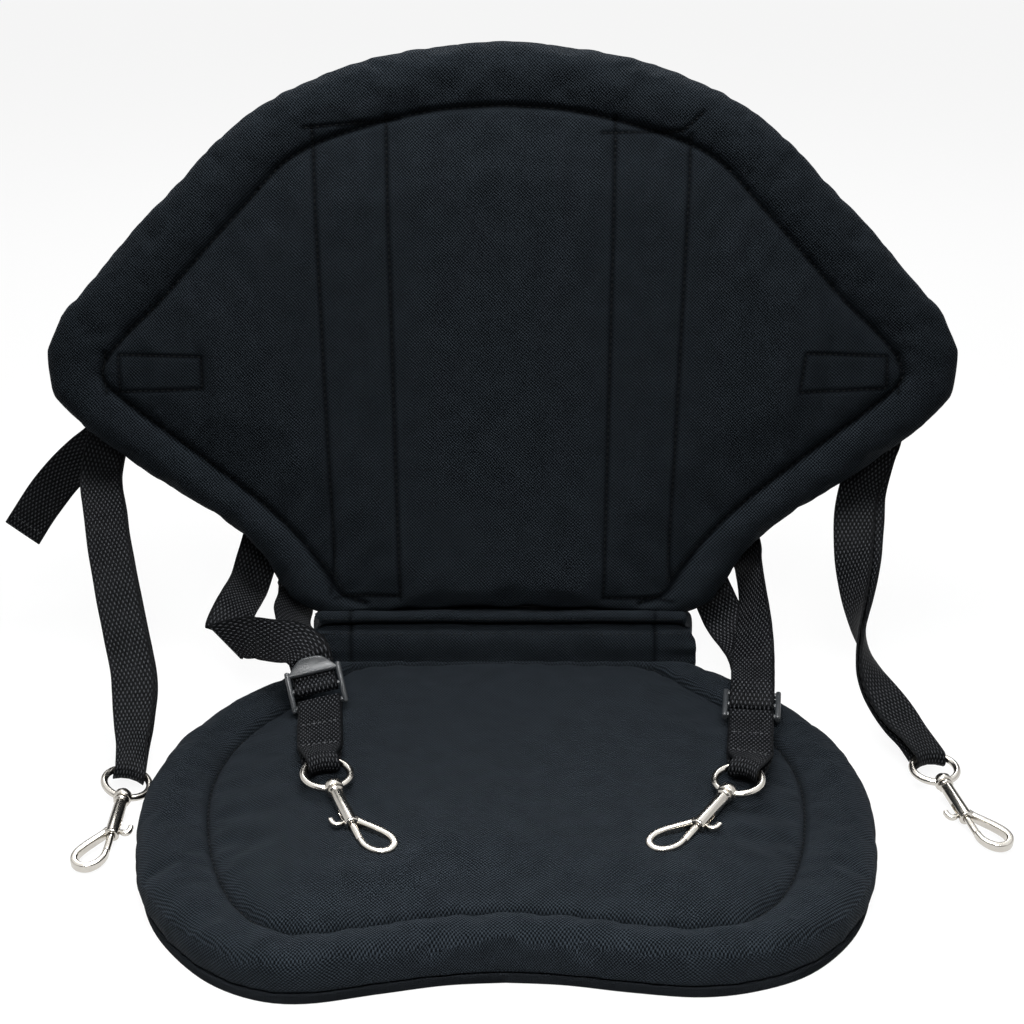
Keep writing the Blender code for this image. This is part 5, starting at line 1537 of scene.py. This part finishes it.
STITCH_RISE = (-0.55, 0.10, 0.26, 0.10, -0.55)
STITCH_SWELL = (0.7, 1.0, 1.0, 1.0, 0.7)
THREAD_RADIUS = 0.42 * MM


class Sewing:
    """Collects stitches for one piece of thread work."""

    def __init__(self):
        self.points = []
        self.faces = []

    def stitch(self, places, normals, rise, radius):
        """One stitch through five places on the cloth."""
        sides = 6
        first = len(self.points)
        ahead = np.gradient(places, axis=0)
        ahead /= np.linalg.norm(ahead, axis=1)[:, None] + 1e-12
        aside = np.cross(ahead, normals)
        aside /= np.linalg.norm(aside, axis=1)[:, None] + 1e-12
        for index in range(len(places)):
            centre = places[index] + normals[index] * (STITCH_RISE[index] * MM + rise)
            for turn in range(sides):
                angle = 2 * pi * turn / sides
                spoke = aside[index] * cos(angle) + normals[index] * sin(angle)
                self.points.append(centre + spoke * radius * STITCH_SWELL[index])
        for level in range(len(places) - 1):
            low = first + level * sides
            for side in range(sides):
                after = (side + 1) % sides
                self.faces.append((low + side, low + sides + side, low + sides + after, low + after))
        self.faces.append(tuple(first + side for side in range(sides)))
        last = first + (len(places) - 1) * sides
        self.faces.append(tuple(last + side for side in reversed(range(sides))))

    def run(self, places, normals, pitch, rise=0.0, radius=THREAD_RADIUS, share=0.66, seed=1):
        """Stitches along a line of places on the cloth."""
        legs = np.linalg.norm(np.diff(places, axis=0), axis=1)
        along = np.concatenate([[0.0], np.cumsum(legs)])
        count = max(int(along[-1] / pitch), 1)
        source = np.random.default_rng(seed)
        both = np.concatenate([places, normals], axis=1)
        for number in range(count):
            start = along[-1] * (number + 0.12 + source.uniform(-0.03, 0.03)) / count
            end = start + along[-1] * share / count
            marks = np.linspace(start, end, len(STITCH_RISE))
            at = np.stack([np.interp(marks, along, column) for column in both.T], axis=1)
            self.stitch(at[:, :3], at[:, 3:], rise, radius)

    def finish(self, name, material, slot="black_webbing"):
        obj = new_piece(name, self.points, self.faces, 70)
        work = bmesh.new()
        work.from_mesh(obj.data)
        bmesh.ops.recalc_face_normals(work, faces=work.faces)
        work.to_mesh(obj.data)
        work.free()
        return finish_piece(obj, material, "seat")


def tree_of(*pieces):
    """One search tree over several finished pieces."""
    points, faces = [], []
    for piece in pieces:
        first = len(points)
        points.extend(vertex.co.copy() for vertex in piece.data.vertices)
        faces.extend([first + corner for corner in face.vertices] for face in piece.data.polygons)
    return BVHTree.FromPolygons(points, faces)


def cast_on(tree, starts, way):
    """Where lines from the starts meet the cloth, and its softened direction there."""
    places, normals = [], []
    for start in starts:
        hit, normal, _, _ = tree.ray_cast(Vector(start), Vector(way))
        if hit is not None:
            places.append(hit)
            normals.append(normal if normal.dot(Vector(way)) < 0 else -normal)
    places, normals = np.array(places), np.array(normals)
    if len(normals) > 6:
        kernel = np.ones(5) / 5
        padded = np.concatenate([normals[:1]] * 2 + [normals] + [normals[-1:]] * 2)
        normals = np.stack([np.convolve(column, kernel, "valid") for column in padded.T], axis=1)
    return places, normals / np.linalg.norm(normals, axis=1)[:, None]


def dense(line, closed=False, step=1.2 * MM):
    rows = np.concatenate([line, line[:1]]) if closed else line
    long = np.linalg.norm(np.diff(rows, axis=0), axis=1).sum()
    return evenly(rows, max(int(long / step), 6), measure=2)


def sew_backrest(pad):
    tree = tree_of(pad)
    thread = Sewing()
    away = 60 * MM

    def along(line, pitch, seed, closed=False, radius=THREAD_RADIUS):
        rows = dense(line, closed)
        starts = back_rows(np.column_stack([rows, np.full(len(rows), away)]))
        thread.run(*cast_on(tree, starts, -BACK_OUT), pitch, seed=seed, radius=radius)

    along(BACK_SEAM, 4.4 * MM, 1)
    for index, line in enumerate(SLEEVES):
        along(line, 4.0 * MM, 2 + index)
    for index, line in enumerate(BOXES + WING_ARCS):
        along(line, 3.6 * MM, 8 + index)
    for index, tack in enumerate(BAR_TACKS):
        along(tack, 3.6 * MM, 14 + index)
    thread.finish("stitches_backrest", THREAD)


def sew_seat(pad):
    tree = tree_of(pad)
    thread = Sewing()
    rows = dense(SEAT_SEAM, closed=True)
    rows = skew_seat(np.column_stack([rows, np.full(len(rows), 80 * MM)]))
    thread.run(*cast_on(tree, rows, (0, 0, -1)), 4.4 * MM, seed=31)
    thread.finish("stitches_seat", THREAD)


def sew_neck(neck):
    """Two lines along the neck: the one that closes its upper roll, and one lower down."""
    tree = tree_of(neck)
    thread = Sewing()
    for height, pitch, seed in ((53.2, 4.2, 41), (44.0, 4.6, 42)):
        x = np.linspace(-108, 108, 180) * MM
        starts = np.column_stack([x, np.full(len(x), 100 * MM), np.full(len(x), height * MM)])
        thread.run(*cast_on(tree, starts, (0, 1, 0)), pitch * MM, seed=seed)
    thread.finish("stitches_neck", THREAD)


def sew_rear(panel, pockets):
    tree = tree_of(panel, *pockets)
    thread = Sewing()

    def along(line, pitch, seed, closed=False):
        rows = dense(line, closed)
        starts = back_rows(np.column_stack([rows, np.full(len(rows), -60 * MM)]))
        thread.run(*cast_on(tree, starts, BACK_OUT), pitch, seed=seed)

    edge = both_halves(half_line(BACK_OUTLINE, 0), 110)[:-1]
    along(inset_line(edge, 10.6 * MM), 4.4 * MM, 51, closed=True)
    for side in (-1, 1):
        for gap in (-22.5, 22.5):
            v = np.linspace(POCKET_LOW + 2 * MM, POCKET_HIGH - 2 * MM, 60)
            u = side * pocket_middle(v) + gap * MM
            along(np.column_stack([u, v]), 4.0 * MM, 55 + side + int(gap > 0))
    thread.finish("stitches_rear", THREAD)


def web_at(run, along, share, side):
    """A place on a strap and the direction out of it, at a length along it."""
    mix = {key: np.array([np.interp(along, run["along"], column) for column in run[key].T])
           for key in ("point", "across", "out", "cup")}
    half = np.interp(along, run["along"], run["width"]) / 2
    sign = 1.0 if side > 0 else -1.0
    place = mix["point"] + mix["across"] * half * share + mix["out"] * side + mix["cup"] * (share ** 2 - 0.5)
    return place, mix["out"] * sign


def sew_on_web(thread, run, line, side, pitch, seed):
    """Stitches on a strap's face along rows of length along and share of the half width."""
    places, normals = zip(*[web_at(run, along, share, side) for along, share in line])
    thread.run(np.array(places), np.array(normals), pitch, seed=seed)


def nearest_along(run, target, facing):
    """The length along a strap that is level with a place, on the layer that faces a direction."""
    away = np.linalg.norm(run["point"] - np.array(target), axis=1)
    close = away < away.min() + 2.4 * MM
    score = np.where(close, run["point"] @ np.array(facing), -1e9)
    index = int(np.argmax(score))
    side = 1.0 if run["out"][index] @ np.array(facing) > 0 else -1.0
    return run["along"][index], side


WEB_FACE = 0.47 * WEB_THICK


def line_across(start, slant=0.0, inset=0.82):
    return [(start + slant * share, share) for share in np.linspace(-inset, inset, 12)]


def sew_links(runs):
    """Two lines across each short loop, closing it against the buckle and against the snap."""
    toward_camera = Vector((0, -cos(VIEW_DOWN), sin(VIEW_DOWN)))
    for key, (run, slants) in runs.items():
        place = SNAPS[f"lower_{key}"]
        bar = LOWER_BUCKLES[key] @ Vector((0, -BUCKLE_PITCH, 0))
        thread = Sewing()
        for number, (share, slant) in enumerate(zip((0.36, 0.72), slants)):
            target = bar.lerp(place.wire, share)
            for facing in (toward_camera, -toward_camera):
                along, side = nearest_along(run, target, facing)
                sew_on_web(thread, run, line_across(along, slant), side * WEB_FACE, 2.9 * MM, 61 + number)
        thread.finish(f"stitches_link_{key}", STRAP_THREAD)


def sew_corners(thread, run, corners, steps, seed):
    """Straight lines of stitches from corner to corner, on the face that looks back."""
    side = WEB_FACE if run["out"][4] @ np.array(BACK_OUT) < 0 else -WEB_FACE
    for first, second in zip(corners[:-1], corners[1:]):
        first = np.array(first)
        row = [tuple(first + (np.array(second) - first) * part) for part in np.linspace(0, 1, steps)]
        sew_on_web(thread, run, row, side, 2.9 * MM, seed)


def sew_straps(upper, lower, tabs):
    """A line near each strap's free end, a crossed stitch at its sewn end, and a crossed box on each tab."""
    thread = Sewing()
    start, end = 3 * MM, STRAP_SEWN_LONG - 2 * MM
    crossed = [(start, -0.75), (start, 0.75), (end, -0.75), (end, 0.75), (start, -0.75)]
    for seed, run in enumerate(list(upper.values()) + list(lower.values())):
        total = run["along"][-1]
        for side in (WEB_FACE, -WEB_FACE):
            sew_on_web(thread, run, line_across(total - 7 * MM), side, 2.9 * MM, 71 + seed)
        sew_corners(thread, run, crossed, 8, 81 + seed)
    for seed, run in enumerate(tabs):
        start, end = 4 * MM, run["along"][-1] - 28 * MM
        box = [(start, -0.75), (start, 0.75), (end, 0.75), (end, -0.75), (start, -0.75),
               (end, 0.75), (end, -0.75), (start, 0.75)]
        sew_corners(thread, run, box, 12, 91 + seed)
    thread.finish("stitches_straps", STRAP_THREAD)


# The whole seat

set_camera()
light_the_studio()
lay_floor()
COVER_CLOTH = woven_cloth("cover_cloth", (0.0014, 0.0020, 0.0026), (0.0222, 0.0282, 0.0348),
                          pitch=0.96, bump=0.8, sheen=0.02, roughness=0.62)
BASE_CLOTH = woven_cloth("base_cloth", (0.0010, 0.0013, 0.0016), (0.0170, 0.0200, 0.0235),
                         pitch=1.5, bump=0.7, sheen=0.02, roughness=0.7)
WEBBING = coarse_webbing("webbing")
THREAD = sewing_thread("black_thread", (0.0008, 0.0010, 0.0013), (0.0060, 0.0070, 0.0080))
STRAP_THREAD = sewing_thread("strap_thread", (0.02, 0.021, 0.023), (0.09, 0.095, 0.10))
PLASTIC = moulded_plastic("buckle_plastic", (0.030, 0.033, 0.036), 0.36)
BATTEN = moulded_plastic("batten_plastic", (0.05, 0.05, 0.05), 0.45)
NICKEL = plated_metal("nickel", (0.62, 0.59, 0.54), 0.2)
SPRING = plated_metal("spring_steel", (0.5, 0.5, 0.5), 0.28)

backrest = make_backrest()
seat = make_seat()
neck = make_neck()
make_base()
rear_panel = make_rear_panel()
sleeves = [make_pocket(-1, "left"), make_pocket(1, "right")]
upper_runs = {"left": make_upper_strap(-1, "left", SNAPS["upper_left"]),
              "right": make_upper_strap(1, "right", SNAPS["upper_right"])}
lower_runs = {key: make_lower_strap(key) for key in ("left", "right")}
link_runs = {key: make_link(key, SNAPS[f"lower_{key}"]) for key in ("left", "right")}
tab_runs = [make_wing_anchor(-1, "left")[0], make_wing_anchor(1, "right")[0]]
make_buckles()
make_snaps()
for key in SNAPS:
    give_finish(f"snap_spring_{key}", SPRING)
for side in ("left", "right"):
    give_finish(f"batten_{side}", BATTEN)
sew_backrest(backrest)
sew_seat(seat)
sew_neck(neck)
sew_rear(rear_panel, sleeves)
sew_links({"left": (link_runs["left"], (0.0, 0.6 * MM)),
           "right": (link_runs["right"], (0.0, -3.0 * MM))})
sew_straps(upper_runs, lower_runs, tab_runs)

bpy.context.scene.view_settings.view_transform = "Standard"
